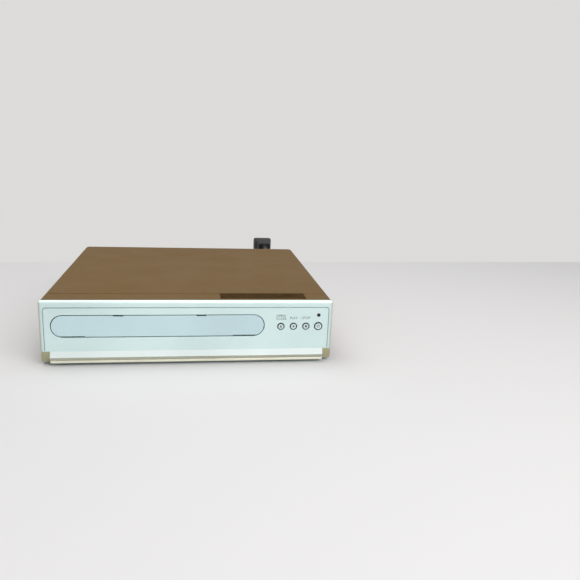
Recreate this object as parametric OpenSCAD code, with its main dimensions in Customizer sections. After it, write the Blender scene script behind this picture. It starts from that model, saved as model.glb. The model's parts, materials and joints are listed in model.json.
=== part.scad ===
// Compact disc player: steel case, plastic front, sliding disc tray with its loader,
// electronics and a coiled mains lead. Millimetres, +Z up, front face towards -Y.

/* [Case] */
// Width of the case and of the front bezel
case_w = 240; // [236:1:300]
// Depth from the front face to the back edge of the cover
case_d = 230; // [226:1:290]
// Height of the front bezel
face_h = 52.5; // [51:0.5:66]
// Gap under the bezel that the feet give
foot_gap = 2.5; // [2:0.5:8]
// Thickness of the cover's steel sheet
cover_t = 0.8; // [0.6:0.1:1.2]
// Thickness of the chassis pan and the rear panel
pan_t = 1; // [0.8:0.1:1.5]
// General clearance between parts that meet
fit = 0.3; // [0.2:0.05:0.5]
// Radius of the rubber feet
foot_r = 9; // [6:0.5:12]

/* [Front] */
// Thickness of the bezel's front wall
wall_t = 2.4; // [1.8:0.1:3]
// Depth of the bezel's visible rim, ahead of the cover
rim_d = 3.5; // [3:0.5:6]
// How far the bottom lip stands out of the face
lip_out = 3; // [1:0.5:5]
// Height of the sloping chin
chin_h = 10; // [8:0.5:12]
// Half length of the bottom lip
lip_half = 112.5; // [90:0.5:117]
// Width of the framing groove on the face
groove_w = 0.8; // [0.5:0.1:1.5]
// Depth of the framing groove
groove_t = 0.6; // [0.3:0.1:1]

/* [Tray] */
// Sideways place of the tray and its door, from the middle of the case
tray_x = -25; // [-27:1:0]
// Width of the tray door
door_w = 171.7; // [150:0.1:172]
// Height of the tray door
door_h = 17.8; // [16:0.1:19]
// Drop from the top of the bezel to the middle of the door
door_drop = 21.4; // [20:0.1:24]
// Gap all round the door
door_gap = 0.7; // [0.4:0.1:1]
// Distance from the front face to the disc's centre with the tray shut
disc_back = 76; // [74:1:80]
// How far the tray slides out
tray_travel = 136; // [100:1:138]
// Radius of the large disc recess
disc_r = 60.6; // [60.3:0.1:61.2]
// Radius of the small disc recess
small_disc_r = 40.8; // [40.3:0.1:41.5]

/* [Buttons] */
// Distance between button centres
button_pitch = 10.8; // [10:0.1:11.5]
// Distance from the last button to the right edge of the bezel
button_edge = 12.1; // [10:0.1:16]
// Drop from the top of the bezel to the buttons
button_drop = 22.5; // [18:0.1:28]
// Radius of the three small buttons
button_r = 2.6; // [2:0.1:3]
// Radius of the power button
power_r = 3.1; // [2.5:0.1:3.4]
// Gap round each button
button_gap = 0.6; // [0.3:0.1:0.8]
// Button travel
button_travel = 0.6; // [0.3:0.1:1]
// Drop from the top of the bezel to the receiver window
window_drop = 12.6; // [10:0.1:16]
// Radius of the receiver window
window_r = 1.5; // [1:0.1:2.5]

/* [Loader] */
// Angle at which the traverse hangs when lowered
tilt = 6.5; // [6.2:0.1:7]
// Travel of the pickup sled
sled_travel = 34; // [20:1:34]
// Module of the tray rack and its pinion
rack_m = 1; // [1:1:1]
// Teeth of the tray pinion
pinion_n = 16; // [16:1:16]
// Module of the reduction gears
gear_m = 0.8; // [0.8:0.1:0.8]
// Teeth of the large reduction gear
large_n = 40; // [40:1:40]
// Teeth of the small reduction gear
small_n = 12; // [12:1:12]

/* [Back] */
// How far the sockets stand out behind the cover's back edge
jack_out = 9; // [6:0.5:12]
// Outer radius of a phono socket
jack_r = 4.15; // [4:0.05:4.3]
// Spacing of the phono sockets
jack_pitch = 14; // [12:0.5:16]
// Diameter of the mains lead
cord_d = 5.5; // [5:0.5:7]
// Distance from the mains lead to the right edge of the case
cord_edge = 24; // [18:1:40]

/* [Hidden] */
$fn = 64;

// Planes of the case
face_y = -(lip_out + case_d + jack_out) / 2 + lip_out;
back_y = face_y + case_d;
under_z = foot_gap;
top_z = foot_gap + face_h;
half_w = case_w / 2;

// Cover: its skin lies a little inside the bezel's outline
cover_in = 0.3;
cover_x = half_w - cover_in;
cover_z = top_z - cover_in;
bend_r = 2.2;
cover_front = face_y + rim_d + 0.2;
hem_h = 10;
hem_cut = 5;

// Bezel flange that the cover slides over
flange_x = cover_x - cover_t - fit;
flange_z = cover_z - cover_t - fit;
flange_y = face_y + 15;
flange_t = 2;
corner_r = 1.6;
edge_r = 1.8;
chin_in = 3.5;

// Pan and rear panel
pan_z = under_z + 0.8;
pan_top = pan_z + pan_t;
pan_x = cover_x - cover_t - 0.6;
pan_front = flange_y + fit;
pan_side_h = 12;
panel_out = back_y - cover_t - 0.2;
panel_in = panel_out - pan_t;
panel_top = cover_z - cover_t - 0.4;
side_screw_z = pan_top + 9.5;
side_screw_y = back_y - 38;
hem_screw_x = [-half_w + 30, 0, half_w - 30];
hem_screw_z = cover_z - 6;
screw_r = 1.4;
screw_hole_r = 1.5;
head_r = 2.9;
head_h = 1.5;

// Feet
foot_x = half_w - 22;
foot_places = [[-foot_x, face_y + 38], [foot_x, face_y + 38],
    [-foot_x, back_y - 40], [foot_x, back_y - 40]];
foot_stem_r = 2.4;

// Door and buttons
door_z = top_z - door_drop;
door_t = 2.8;
button_z = top_z - button_drop;
button_x = [for (i = [0:3]) half_w - button_edge - (3 - i) * button_pitch];
button_rs = [button_r, button_r, button_r, power_r];
button_proud = 0.3;
window_x = button_x[3];
window_z = top_z - window_drop;
front_board_y = face_y + 11;
front_board_t = 1.6;
front_board_x0 = button_x[0] - 7;
front_board_x1 = half_w - 5;
front_board_z0 = under_z + 11;
front_board_z1 = top_z - 5;
switch_y = front_board_y - 3.5;
switch_tip_y = switch_y - 0.9;
button_stem_y = switch_tip_y - button_travel - 0.05;
boss_x = [front_board_x0 + 4, front_board_x1 - 4];
boss_z = [front_board_z1 - 3.5, front_board_z0 + 3.5];

// Tray and loader heights, from the door's middle
tray_z = door_z - 4.1;
tray_top = tray_z + 9;
recess_z = tray_z + 5.5;
small_recess_z = recess_z - 1.2;
spin_y = face_y + disc_back;
tray_front = face_y + door_t;
tray_back = spin_y + 107;
tray_half = 65.5;
rail_out = 2.5;
rail_h = 3;
window_half = 27;
window_y0 = spin_y - 17;
window_y1 = spin_y + 76;

// Loader frame
frame_in = tray_half + 0.7;
frame_out = frame_in + 5.8;
frame_y0 = face_y + 8;
frame_y1 = spin_y + 119;
frame_z = pan_top + 3.7;
deck_t = 2;
deck_y1 = spin_y - 30;
wall_top = tray_z + 6.5;
bridge_z = tray_z + 14.5;
bridge_t = 0.8;
bridge_y0 = spin_y - 22;
bridge_y1 = spin_y + 22;
ear_x = frame_out + 3.6;
ear_top = frame_z + 4;
ear_y = [frame_y0 + 14, frame_y1 - 16];
ear_r = 5;
bridge_screw_y = [spin_y - 16, spin_y + 16];
bridge_screw_x = frame_out - 2.9;

// Gear train
gear_y = face_y + 28;
drive_x = tray_x + 42;
pinion_r = rack_m * pinion_n / 2;
rack_x = drive_x + pinion_r;
large_r = gear_m * large_n / 2;
small_r = gear_m * small_n / 2;
pulley_x = drive_x - large_r - small_r;
motor_x = pulley_x - 35.2;
deck_z = frame_z + deck_t;
pulley_z = deck_z + 1;
pulley_h = 4;
pulley_r = 14.2;
pulley_groove_r = 13;
motor_pulley_r = 4.6;
motor_groove_r = 3.2;
belt_t = 1.2;
gear_z = pulley_z + pulley_h + 1;
gear_h = 3.5;
rack_z = tray_z - 3.3;
post_r = 1.5;
drive_post_r = 2;
run = 0.06;
motor_can_r = 12.2;
motor_can_z = gear_z + 0.2;
motor_can_h = 12;
shelf_t = 1;
backlash = 0.25;

// Traverse, drawn level and then hung at its rest angle
hinge_y = spin_y + 108;
hinge_z = pan_top + 10.7;
seat_z = tray_z + 8.5;
ring_z = tray_z - 9.5;
ring_h = 5;
ring_x = 46;
ring_y0 = spin_y - 20;
ring_y1 = hinge_y + 2;
ring_w = 7;
plate_z = ring_z + ring_h + 0.6;
plate_t = 1.2;
cam_pin_x = 25;
cam_pin_r = 1.5;
cam_pin_z = ring_z + 3;
hinge_pin_r = 2;
slider_y0 = spin_y - 29.5;
slider_y1 = slider_y0 + 2.5;
slider_travel = 24;
bush_places = [for (x = [-41.5, 41.5], y = [spin_y - 15, spin_y + 96]) [tray_x + x, y]];
rod_x_off = 19;
rod_z = ring_z + 3.5;
rod_r = 1.5;
rod_y0 = spin_y + 9.5;
rod_y1 = spin_y + 93;
clip_t = 3;
sled_motor_y = spin_y + 86;
lens_y = spin_y + 24;
screw_x = tray_x - 28;
lead_z = ring_z - 0.5;
lead_r = 1.5;
spindle_r = 1;
spindle_motor_r = 12;
spindle_motor_h = 6;

// Boards
board_z = pan_top + 5.6;
board_t = 1.6;
board_x0 = tray_x + ear_x + ear_r + 1;
board_x1 = pan_x - pan_t - 2;
main_y0 = face_y + 18;
main_y1 = main_y0 + 110;
power_y0 = back_y - 84;
power_y1 = panel_in - 2;
jack_board_y0 = back_y - 31;
jack_board_y1 = panel_in - 1;
jack_board_x0 = -half_w + 18;
jack_board_x1 = jack_board_x0 + 84;
post_places = [[board_x0 + 4, main_y0 + 4], [board_x1 - 4, main_y0 + 4],
    [board_x0 + 4, main_y1 - 4], [board_x1 - 4, main_y1 - 4],
    [board_x0 + 4, power_y0 + 4], [board_x1 - 4, power_y0 + 4],
    [board_x0 + 4, power_y1 - 4], [board_x1 - 4, power_y1 - 4],
    [jack_board_x0 + 4, jack_board_y0 + 4], [jack_board_x1 - 4, jack_board_y0 + 4]];
post_out_r = 2.6;
post_hole_r = 1.1;
small_screw_r = 1;
small_head_r = 2.4;

// Sockets on the rear panel
jack_x = [for (i = [0:2]) jack_board_x0 + 16 + i * jack_pitch];
jack_z = [board_z + board_t + 8, board_z + board_t + 8 + jack_pitch];
digital_x = jack_x[2] + jack_pitch + 3;
jack_places = concat([for (x = jack_x, z = jack_z) [x, z]], [[digital_x, jack_z[0]]]);
video_r = 6.2;
jack_base_r = jack_r + 0.2;
jack_base_y = panel_out + 1;
pin_hole_r = 1.62;
pin_hole_y = panel_in - 2;
jack_end = back_y + jack_out;

// Mains lead: its route, its coil and its plug
cord_x = half_w - cord_edge;
cord_z = pan_top + 15.7;
relief_y = back_y + 21;
cord_r = cord_d / 2;
coil_x = cord_x - 9;
coil_y = back_y + 118;
coil_r = 30;
coil_columns = 2;
coil_layers = 4;
coil_out = coil_columns * cord_r;
coil_top = coil_layers * cord_d;
lead_end_x = coil_x + coil_r + coil_out - cord_r;
plug_x = coil_x + 16;
plug_y = coil_y + 14;
plug_tip_y = plug_y - 8;
plug_l = 30;
plug_w = 26;
plug_h = 18;
plug_z = coil_top + 0.2;
blade_l = 16;
blade_pitch = 12.7;

// Shares of the way across, back and down that the lead takes to its coil
lead_shares = [[0, 0, 1], [0, 0.07, 1], [0, 0.14, 0.97], [0.02, 0.21, 0.89], [0.06, 0.28, 0.77],
    [0.13, 0.35, 0.62], [0.23, 0.42, 0.46], [0.35, 0.49, 0.31], [0.48, 0.56, 0.18],
    [0.62, 0.63, 0.09], [0.74, 0.7, 0.03], [0.84, 0.77, 0], [0.92, 0.84, 0], [0.97, 0.91, 0],
    [1, 0.96, 0], [1, 1, 0]];

// Free end of the lead, from the middle of the coil's top face
tail_steps = [[-5, 29.5, -2.7], [-12.5, 27.5, -1.5], [-19, 23.2, 0.8], [-24.4, 17.4, 2.4],
    [-28.2, 10.4, 2.9], [-30, 3, 3], [-29.8, -4, 3.1], [-27.8, -9.7, 3.4], [-24.6, -14.8, 3.8],
    [-20.2, -18.8, 4.3], [-14.9, -21.6, 4.9], [-9, -22.9, 5.5], [-3, -22.7, 6.1],
    [2.7, -20.8, 6.7], [7.8, -17.6, 7.3], [11.8, -13.2, 7.9], [14.6, -7.9, 8.5],
    [15.8, -2, 8.9], [16, 3, 9.2], [16, 6, 9.2]];

// Helpers -----------------------------------------------------------------

module block(x0, x1, y0, y1, z0, z1) {
    translate([x0, y0, z0]) cube([x1 - x0, y1 - y0, z1 - z0]);
}

module rod_up(x, y, z0, z1, r) {
    translate([x, y, z0]) cylinder(h = z1 - z0, r = r);
}

module rod_back(x, z, y0, y1, r) {
    translate([x, y1, z]) rotate([90, 0, 0]) cylinder(h = y1 - y0, r = r);
}

module rod_side(y, z, x0, x1, r) {
    translate([x0, y, z]) rotate([0, 90, 0]) cylinder(h = x1 - x0, r = r);
}

// Extrudes an outline drawn in X and Z from y0 back to y1
module along_y(y0, y1) {
    translate([0, y1, 0]) rotate([90, 0, 0]) linear_extrude(y1 - y0) children();
}

// Extrudes an outline drawn in Y and Z from x0 to x1
module along_x(x0, x1) {
    translate([x0, 0, 0]) rotate([90, 0, 90]) linear_extrude(x1 - x0) children();
}

// Outline with its two upper corners rounded, standing on z0
module arch2d(hx, z0, z1, r) {
    translate([-hx, z0]) square([2 * hx, z1 - z0 - r]);
    translate([-hx + r, z0]) square([2 * hx - 2 * r, z1 - z0]);
    for (s = [-1, 1]) translate([s * (hx - r), z1 - r]) circle(r = r);
}

module round_rect2d(x0, x1, y0, y1, r) {
    translate([x0 + r, y0]) square([x1 - x0 - 2 * r, y1 - y0]);
    translate([x0, y0 + r]) square([x1 - x0, y1 - y0 - 2 * r]);
    for (x = [x0 + r, x1 - r], y = [y0 + r, y1 - r]) translate([x, y]) circle(r = r);
}

module pill2d(x, z, w, h) {
    translate([x - w / 2 + h / 2, z - h / 2]) square([w - h, h]);
    for (s = [-1, 1]) translate([x + s * (w - h) / 2, z]) circle(d = h);
}

// Flank angle of an involute at radius r on base radius rb, in degrees
function involute(r, rb) = r <= rb ? 0 : tan(acos(rb / r)) * 180 / PI - acos(rb / r);

// Involute gear outline with a tooth centred on +X
function gear_points(m, n) =
    let (rp = m * n / 2, rb = rp * cos(20), ra = rp + 0.9 * m, rf = rp - 1.2 * m,
        half = 90 / n - backlash * m / 4 / rp * 180 / PI + involute(rp, rb),
        flank = [for (k = [0:4]) let (r = max(rb, rf) + k / 4 * (ra - max(rb, rf)))
            [r, half - involute(r, rb)]],
        side = concat([[rf, half]], flank))
    [for (i = [0:n - 1]) for (j = [0:11])
        let (p = j < 6 ? side[j] : side[11 - j], a = i * 360 / n + (j < 6 ? -p[1] : p[1]))
        [p[0] * cos(a), p[0] * sin(a)]];

module gear(m, n, h, turn) {
    rotate([0, 0, turn]) linear_extrude(h) polygon(gear_points(m, n));
}

// Pan-head screw with its head's seat at z and its axis along +Z
module screw_down(x, y, z, len, r, hr) {
    difference() {
        union() {
            rod_up(x, y, z - len, z, r);
            rod_up(x, y, z, z + head_h, hr);
        }
        for (t = [0, 90])
            translate([x, y, z + head_h]) rotate([0, 0, t]) cube([hr * 1.1, 0.7, 1.6], center = true);
    }
}

// Moves a part drawn level to the lowered rest place of the traverse
module hung() {
    translate([0, hinge_y, hinge_z]) rotate([tilt, 0, 0])
        translate([0, -hinge_y, -hinge_z]) children();
}

// Tube along points, with eight sides
module tube(points, r) {
    n = len(points);
    sides = 8;
    ways = [for (i = [0:n - 1])
        let (d = points[min(i + 1, n - 1)] - points[max(i - 1, 0)]) d / norm(d)];
    rings = [for (i = [0:n - 1])
        let (side = cross(ways[i], [0, 0, 1]), u = side / norm(side), v = cross(u, ways[i]))
        for (k = [0:sides - 1])
            let (a = (k + 0.5) * 360 / sides) points[i] + r * (u * cos(a) + v * sin(a))];
    walls = [for (i = [0:n - 2]) for (k = [0:sides - 1])
        let (a = i * sides + k, b = i * sides + (k + 1) % sides)
        [a, a + sides, b + sides, b]];
    ends = [[for (k = [0:sides - 1]) k],
        [for (k = [sides - 1:-1:0]) (n - 1) * sides + k]];
    polyhedron(points = rings, faces = concat(walls, ends));
}

// Case --------------------------------------------------------------------

// Plan of the bezel rim with rounded front corners
module bezel_plan2d() {
    translate([-half_w, face_y + edge_r]) square([case_w, rim_d - edge_r]);
    translate([-half_w + edge_r, face_y - lip_out]) square([case_w - 2 * edge_r, rim_d + lip_out]);
    for (s = [-1, 1]) translate([s * (half_w - edge_r), face_y + edge_r]) circle(r = edge_r);
}

module bezel_side2d(rear) {
    polygon([[face_y + chin_in, under_z], [face_y, under_z + chin_h], [face_y, top_z - 0.7],
        [face_y + 0.2, top_z - 0.2], [face_y + 0.7, top_z], [rear, top_z], [rear, under_z]]);
}

module lip_side2d() {
    polygon([[face_y, under_z + chin_h], [face_y - lip_out, under_z + 5.5],
        [face_y - lip_out + 0.2, under_z + 4.9], [face_y - 0.6, under_z + 2],
        [face_y - 1.1, under_z + 1.5], [face_y - 1.1, under_z], [face_y + 6, under_z],
        [face_y + 6, under_z + chin_h]]);
}

module face_groove() {
    x = half_w - 3;
    along_y(face_y - 1, face_y + groove_t) difference() {
        arch2d(x, under_z + chin_h + 0.4, top_z - 5.4, 3);
        arch2d(x - groove_w, under_z + chin_h, top_z - 5.4 - groove_w, 3 - groove_w);
    }
}

module front_bezel() {
    color("gainsboro") difference() {
        union() {
            intersection() {
                linear_extrude(top_z) bezel_plan2d();
                along_x(-half_w, half_w) bezel_side2d(face_y + rim_d);
                along_y(face_y - lip_out, face_y + rim_d)
                    arch2d(half_w, under_z, top_z, corner_r);
            }
            along_x(-lip_half, lip_half) lip_side2d();
            along_y(face_y + rim_d - 0.5, flange_y) arch2d(flange_x, under_z, flange_z, corner_r);
        }
        block(-flange_x + flange_t, flange_x - flange_t, face_y + wall_t, flange_y + 1,
            under_z + chin_h, flange_z - flange_t);
        block(-flange_x + flange_t, flange_x - flange_t, face_y + 6, flange_y + 1,
            under_z + flange_t, under_z + chin_h + 1);
        along_y(face_y - 1, face_y + wall_t + 1)
            pill2d(tray_x, door_z, door_w + 2 * door_gap, door_h + 2 * door_gap);
        for (i = [0:3])
            rod_back(button_x[i], button_z, face_y - 1, face_y + wall_t + 1,
                button_rs[i] + button_gap);
        rod_back(window_x, window_z, face_y - 1, face_y + wall_t + 1, window_r + 0.05);
        face_groove();
    }
    color("gainsboro") for (i = [0, 1]) difference() {
        rod_back(boss_x[i], boss_z[i], face_y + wall_t, front_board_y, 3);
        rod_back(boss_x[i], boss_z[i], face_y + wall_t + 1, front_board_y + 1, post_hole_r);
    }
}

module top_cover() {
    color("dimgray") difference() {
        union() {
            along_y(cover_front, back_y) difference() {
                arch2d(cover_x, under_z + 0.5, cover_z, bend_r);
                arch2d(cover_x - cover_t, under_z, cover_z - cover_t, bend_r - cover_t);
            }
            block(-cover_x + hem_cut + 1, cover_x - hem_cut - 1, back_y - cover_t, back_y,
                cover_z - hem_h, cover_z - 0.2);
        }
        for (s = [-1, 1]) translate([s * cover_x, back_y, 0]) rotate([0, 0, 45])
            cube([hem_cut, hem_cut, 2 * top_z + 60], center = true);
        for (s = [-1, 1], i = [0:13])
            block(s * cover_x - 2, s * cover_x + 2, back_y - 110 + i * 5, back_y - 107.5 + i * 5,
                cover_z - 24, cover_z - 10);
        for (s = [-1, 1]) rod_side(side_screw_y, side_screw_z, s * cover_x - 2, s * cover_x + 2,
            screw_hole_r);
        for (x = hem_screw_x) rod_back(x, hem_screw_z, back_y - 2, back_y + 1, screw_hole_r);
    }
}

module chassis_pan() {
    color("silver") difference() {
        union() {
            block(-pan_x, pan_x, pan_front, panel_out, pan_z, pan_top);
            for (s = [-1, 1])
                block(min(s * pan_x, s * (pan_x - pan_t)), max(s * pan_x, s * (pan_x - pan_t)),
                    pan_front, panel_in - fit, pan_z, pan_top + pan_side_h);
            for (p = post_places) rod_up(p[0], p[1], pan_top - 0.2, board_z, post_out_r);
        }
        for (p = post_places) rod_up(p[0], p[1], pan_top, board_z + 1, post_hole_r);
        for (p = foot_places) rod_up(p[0], p[1], pan_z - 1, pan_top + 1, foot_stem_r + 0.1);
        for (s = [-1, 1], y = ear_y)
            rod_up(tray_x + s * ear_x, y, pan_z - 1, pan_top + 1, screw_hole_r);
        for (s = [-1, 1]) rod_side(side_screw_y, side_screw_z, s * pan_x - 3, s * pan_x + 3,
            screw_hole_r);
        for (i = [0:11]) block(board_x0 + 8 + i * 4, board_x0 + 9.8 + i * 4, main_y0 + 36, main_y0 + 66,
            pan_z - 1, pan_top + 1);
    }
}

module rear_panel() {
    color("silver") difference() {
        block(-pan_x, pan_x, panel_in, panel_out, pan_top, panel_top);
        for (p = jack_places) rod_back(p[0], p[1], panel_in - 1, panel_out + 1, jack_base_r + fit);
        rod_back(digital_x, jack_z[1], panel_in - 1, panel_out + 1, video_r + 0.3);
        rod_back(cord_x, cord_z, panel_in - 1, panel_out + 1, 6);
        for (x = hem_screw_x)
            rod_back(x, hem_screw_z, panel_in - 1, panel_out + 1, screw_hole_r);
        for (i = [0:9])
            block(10 + i * 5, 12.5 + i * 5, panel_in - 1, panel_out + 1, pan_top + 10, pan_top + 26);
    }
}

module rubber_feet() {
    color("dimgray") for (p = foot_places) {
        rod_up(p[0], p[1], 0, pan_z, foot_r);
        rod_up(p[0], p[1], pan_z, pan_top + fit, foot_stem_r);
        rod_up(p[0], p[1], pan_top + fit, pan_top + fit + 1.2, foot_stem_r + 1);
    }
}

module cover_screws() {
    color("dimgray") {
        for (s = [-1, 1]) translate([s * cover_x, side_screw_y, side_screw_z])
            rotate([0, s * 90, 0]) screw_down(0, 0, 0, 5, screw_r, head_r);
        for (x = hem_screw_x) translate([x, back_y, hem_screw_z])
            rotate([-90, 0, 0]) screw_down(0, 0, 0, 6, screw_r, head_r);
    }
}

module top_label() {
    color("#3a2c20") block(24.5, 98, face_y + 8.3, face_y + 25, cover_z, cover_z + 0.2);
}

// Front controls ----------------------------------------------------------

module tray_door() {
    color("lightsteelblue") along_y(face_y, face_y + door_t) difference() {
        pill2d(tray_x, door_z, door_w, door_h);
        for (s = [-1, 1]) {
            translate([tray_x + s * 33.5 - 4, door_z + door_h / 2 - 0.7]) square([8, 2]);
            translate([tray_x + s * 70 - 10, door_z - door_h / 2 - 1.5]) square([20, 2]);
        }
    }
}

module button_body(i) {
    color("whitesmoke") {
        rod_back(button_x[i], button_z, face_y - button_proud, face_y + wall_t + 0.3, button_rs[i]);
        rod_back(button_x[i], button_z, face_y + wall_t + 0.3, face_y + wall_t + 1.5,
            button_rs[i] + button_gap + 0.8);
        rod_back(button_x[i], button_z, face_y + wall_t + 1.5, button_stem_y, 1.2);
    }
}

module eject_button() { button_body(0); }
module play_button() { button_body(1); }
module stop_button() { button_body(2); }
module power_button() { button_body(3); }

module receiver_window() {
    color("black") {
        rod_back(window_x, window_z, face_y - 0.2, face_y + wall_t, window_r);
        rod_back(window_x, window_z, face_y + wall_t, face_y + wall_t + 0.8, window_r + 1.1);
    }
}

module front_board() {
    color("darkgreen") difference() {
        block(front_board_x0, front_board_x1, front_board_y, front_board_y + front_board_t,
            front_board_z0, front_board_z1);
        for (i = [0, 1])
            rod_back(boss_x[i], boss_z[i], front_board_y - 1, front_board_y + 4, post_hole_r);
    }
}

module front_switches() {
    color("dimgray") {
        for (x = button_x) {
            block(x - 3, x + 3, switch_y, front_board_y, button_z - 3, button_z + 3);
            rod_back(x, button_z, switch_tip_y, switch_y, 1.6);
        }
        block(window_x - 3.2, window_x + 3.2, front_board_y - 5, front_board_y,
            window_z - 3.5, window_z + 3.5);
    }
}

// Every small screw inside the case
module inner_screws() {
    color("silver") {
        for (p = post_places)
            screw_down(p[0], p[1], board_z + board_t, 5, small_screw_r, small_head_r);
        for (s = [-1, 1], y = ear_y)
            screw_down(tray_x + s * ear_x, y, ear_top, ear_top - pan_z, screw_r, head_r);
        for (s = [-1, 1], y = bridge_screw_y)
            screw_down(tray_x + s * bridge_screw_x, y, bridge_z + bridge_t, 6, small_screw_r,
                small_head_r);
        for (i = [0, 1])
            translate([boss_x[i], front_board_y + front_board_t, boss_z[i]])
                rotate([-90, 0, 0]) screw_down(0, 0, 0, 6, small_screw_r, small_head_r);
    }
}

// Tray and loader ---------------------------------------------------------

module rack2d() {
    pitch = PI * rack_m;
    half = pitch / 4 - backlash / 4;
    lean = tan(20) * rack_m;
    count = floor((tray_back - 8 - (tray_front + 14)) / pitch);
    first = gear_y - floor((gear_y - (tray_front + 14)) / pitch) * pitch;
    translate([rack_x + 1.2 * rack_m, tray_front + 12])
        square([3, tray_back - 6 - (tray_front + 12)]);
    for (i = [0:count - 1]) translate([rack_x, first + i * pitch])
        polygon([[1.3 * rack_m, -half - lean * 1.3], [-0.9 * rack_m, -half + lean * 0.9],
            [-0.9 * rack_m, half - lean * 0.9], [1.3 * rack_m, half + lean * 1.3]]);
}

module disc_tray() {
    x = tray_x;
    color("dimgray") difference() {
        union() {
            block(x - tray_half, x + tray_half, tray_front, tray_back, tray_z, tray_top);
            block(x - tray_half - rail_out, x + tray_half + rail_out, tray_front + 12, tray_back,
                tray_z, tray_z + rail_h);
            translate([0, 0, rack_z]) linear_extrude(tray_z - rack_z + 0.5) rack2d();
        }
        rod_up(x, spin_y, recess_z, tray_top + 1, disc_r);
        rod_up(x, spin_y, small_recess_z, tray_top + 1, small_disc_r);
        block(x - window_half, x + window_half, spin_y, window_y1, tray_z - 1, tray_top + 1);
        rod_up(x, spin_y, tray_z - 1, tray_top + 1, 20);
        block(x - tray_half + 6, x + tray_half - 6, spin_y + 68, tray_back + 1,
            tray_z + rail_h, tray_top + 1);
        for (s = [-1, 1]) rod_up(x + s * (disc_r + 4), spin_y, recess_z, tray_top + 1, 15);
        block(x - tray_half + 3, x + rack_x - tray_x - 3, tray_front + 3, spin_y - 24,
            tray_z - 1, tray_z + 2.6);
    }
}

module loader_frame() {
    x = tray_x;
    color("#2b2b2e") difference() {
        union() {
            for (s = [-1, 1]) {
                a = min(s * frame_in, s * frame_out);
                b = max(s * frame_in, s * frame_out);
                block(x + a, x + b, frame_y0, frame_y1, frame_z, wall_top);
                block(x + a, x + b, bridge_y0 - 2, bridge_y1 + 2, frame_z, bridge_z);
                for (y = ear_y) rod_up(x + s * ear_x, y, pan_top, ear_top, ear_r);
                block(x + min(s * 48, s * 53), x + max(s * 48, s * 53), hinge_y - 5, frame_y1,
                    frame_z, hinge_z + 5);
            }
            block(x - frame_out, x + frame_out, frame_y0, deck_y1 - 2, frame_z, deck_z);
            block(x - frame_out, x + frame_out, frame_y1 - 6, frame_y1, frame_z, frame_z + 14);
            rod_up(pulley_x, gear_y, deck_z - 1, gear_z + gear_h + 2, post_r);
            rod_up(drive_x, gear_y, deck_z - 1, tray_z - 0.6, drive_post_r);
            block(motor_x - 14, motor_x + 14, gear_y - 14, gear_y + 14,
                motor_can_z - shelf_t, motor_can_z);
            for (s = [-1, 1], t = [-1, 1])
                block(motor_x + s * 12.5 - 1.5, motor_x + s * 12.5 + 1.5, gear_y + t * 12.5 - 1.5,
                    gear_y + t * 12.5 + 1.5, deck_z - 1, motor_can_z - 0.5);
        }
        for (s = [-1, 1]) {
            block(x + min(s * (frame_in - 1), s * (frame_in + 2.2)),
                x + max(s * (frame_in - 1), s * (frame_in + 2.2)), frame_y0 - 1, frame_y1 + 1,
                tray_z - fit, tray_z + rail_h + fit);
            for (y = ear_y) rod_up(x + s * ear_x, y, frame_z - 9, ear_top + 1, screw_hole_r);
            for (y = bridge_screw_y)
                rod_up(x + s * bridge_screw_x, y, bridge_z - 8, bridge_z + 1, post_hole_r);
            rod_side(hinge_y, hinge_z, x + s * 50.5 - 4, x + s * 50.5 + 4, hinge_pin_r + run);
        }
        rod_up(motor_x, gear_y, motor_can_z - 2, motor_can_z + 1, 6);
    }
}

module clamp_bridge() {
    x = tray_x;
    color("silver") difference() {
        block(x - frame_out, x + frame_out, bridge_y0, bridge_y1, bridge_z, bridge_z + bridge_t);
        rod_up(x, spin_y, bridge_z - 1, bridge_z + 2, 14.6);
        for (s = [-1, 1], y = bridge_screw_y)
            rod_up(x + s * bridge_screw_x, y, bridge_z - 1, bridge_z + 2, post_hole_r);
    }
}

module clamp_puck() {
    z = tray_z + 9.5;
    color("whitesmoke") difference() {
        union() {
            rod_up(tray_x, spin_y, z, bridge_z + bridge_t + fit, 13.8);
            rod_up(tray_x, spin_y, bridge_z + bridge_t + fit, bridge_z + 2.3, 17);
        }
        rod_up(tray_x, spin_y, z - 1, z + 3, 8.5);
        rod_up(tray_x, spin_y, z + 4.3, z + 12, 8.1);
    }
}

module clamp_magnet() {
    z = tray_z + 13.8;
    color("gray") difference() {
        rod_up(tray_x, spin_y, z, z + 2.6, 8);
        rod_up(tray_x, spin_y, z - 1, z + 4, 3);
    }
}

module loading_motor() {
    color("silver") {
        rod_up(motor_x, gear_y, motor_can_z, motor_can_z + motor_can_h, motor_can_r);
        rod_up(motor_x, gear_y, motor_can_z - shelf_t, motor_can_z, 3);
    }
}

module motor_pulley() {
    z = pulley_z + 0.2;
    color("white") difference() {
        union() {
            rod_up(motor_x, gear_y, z, z + 1.3, motor_pulley_r);
            rod_up(motor_x, gear_y, z + 1.3, z + 2.7, motor_groove_r);
            rod_up(motor_x, gear_y, z + 2.7, z + 3.6, motor_pulley_r);
            rod_up(motor_x, gear_y, z + 3.6, motor_can_z - shelf_t - 0.1, 1);
        }
        rod_up(motor_x, gear_y, z - 1, z + 1, 0.8);
    }
}

module belt2d(extra) {
    hull() {
        translate([motor_x, gear_y]) circle(r = motor_groove_r + extra);
        translate([pulley_x, gear_y]) circle(r = pulley_groove_r + extra);
    }
}

module loading_belt() {
    color("#202020") translate([0, 0, pulley_z + 1.6]) linear_extrude(belt_t - 0.1) difference() {
        belt2d(0.15 + belt_t);
        belt2d(0.15);
    }
}

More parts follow.
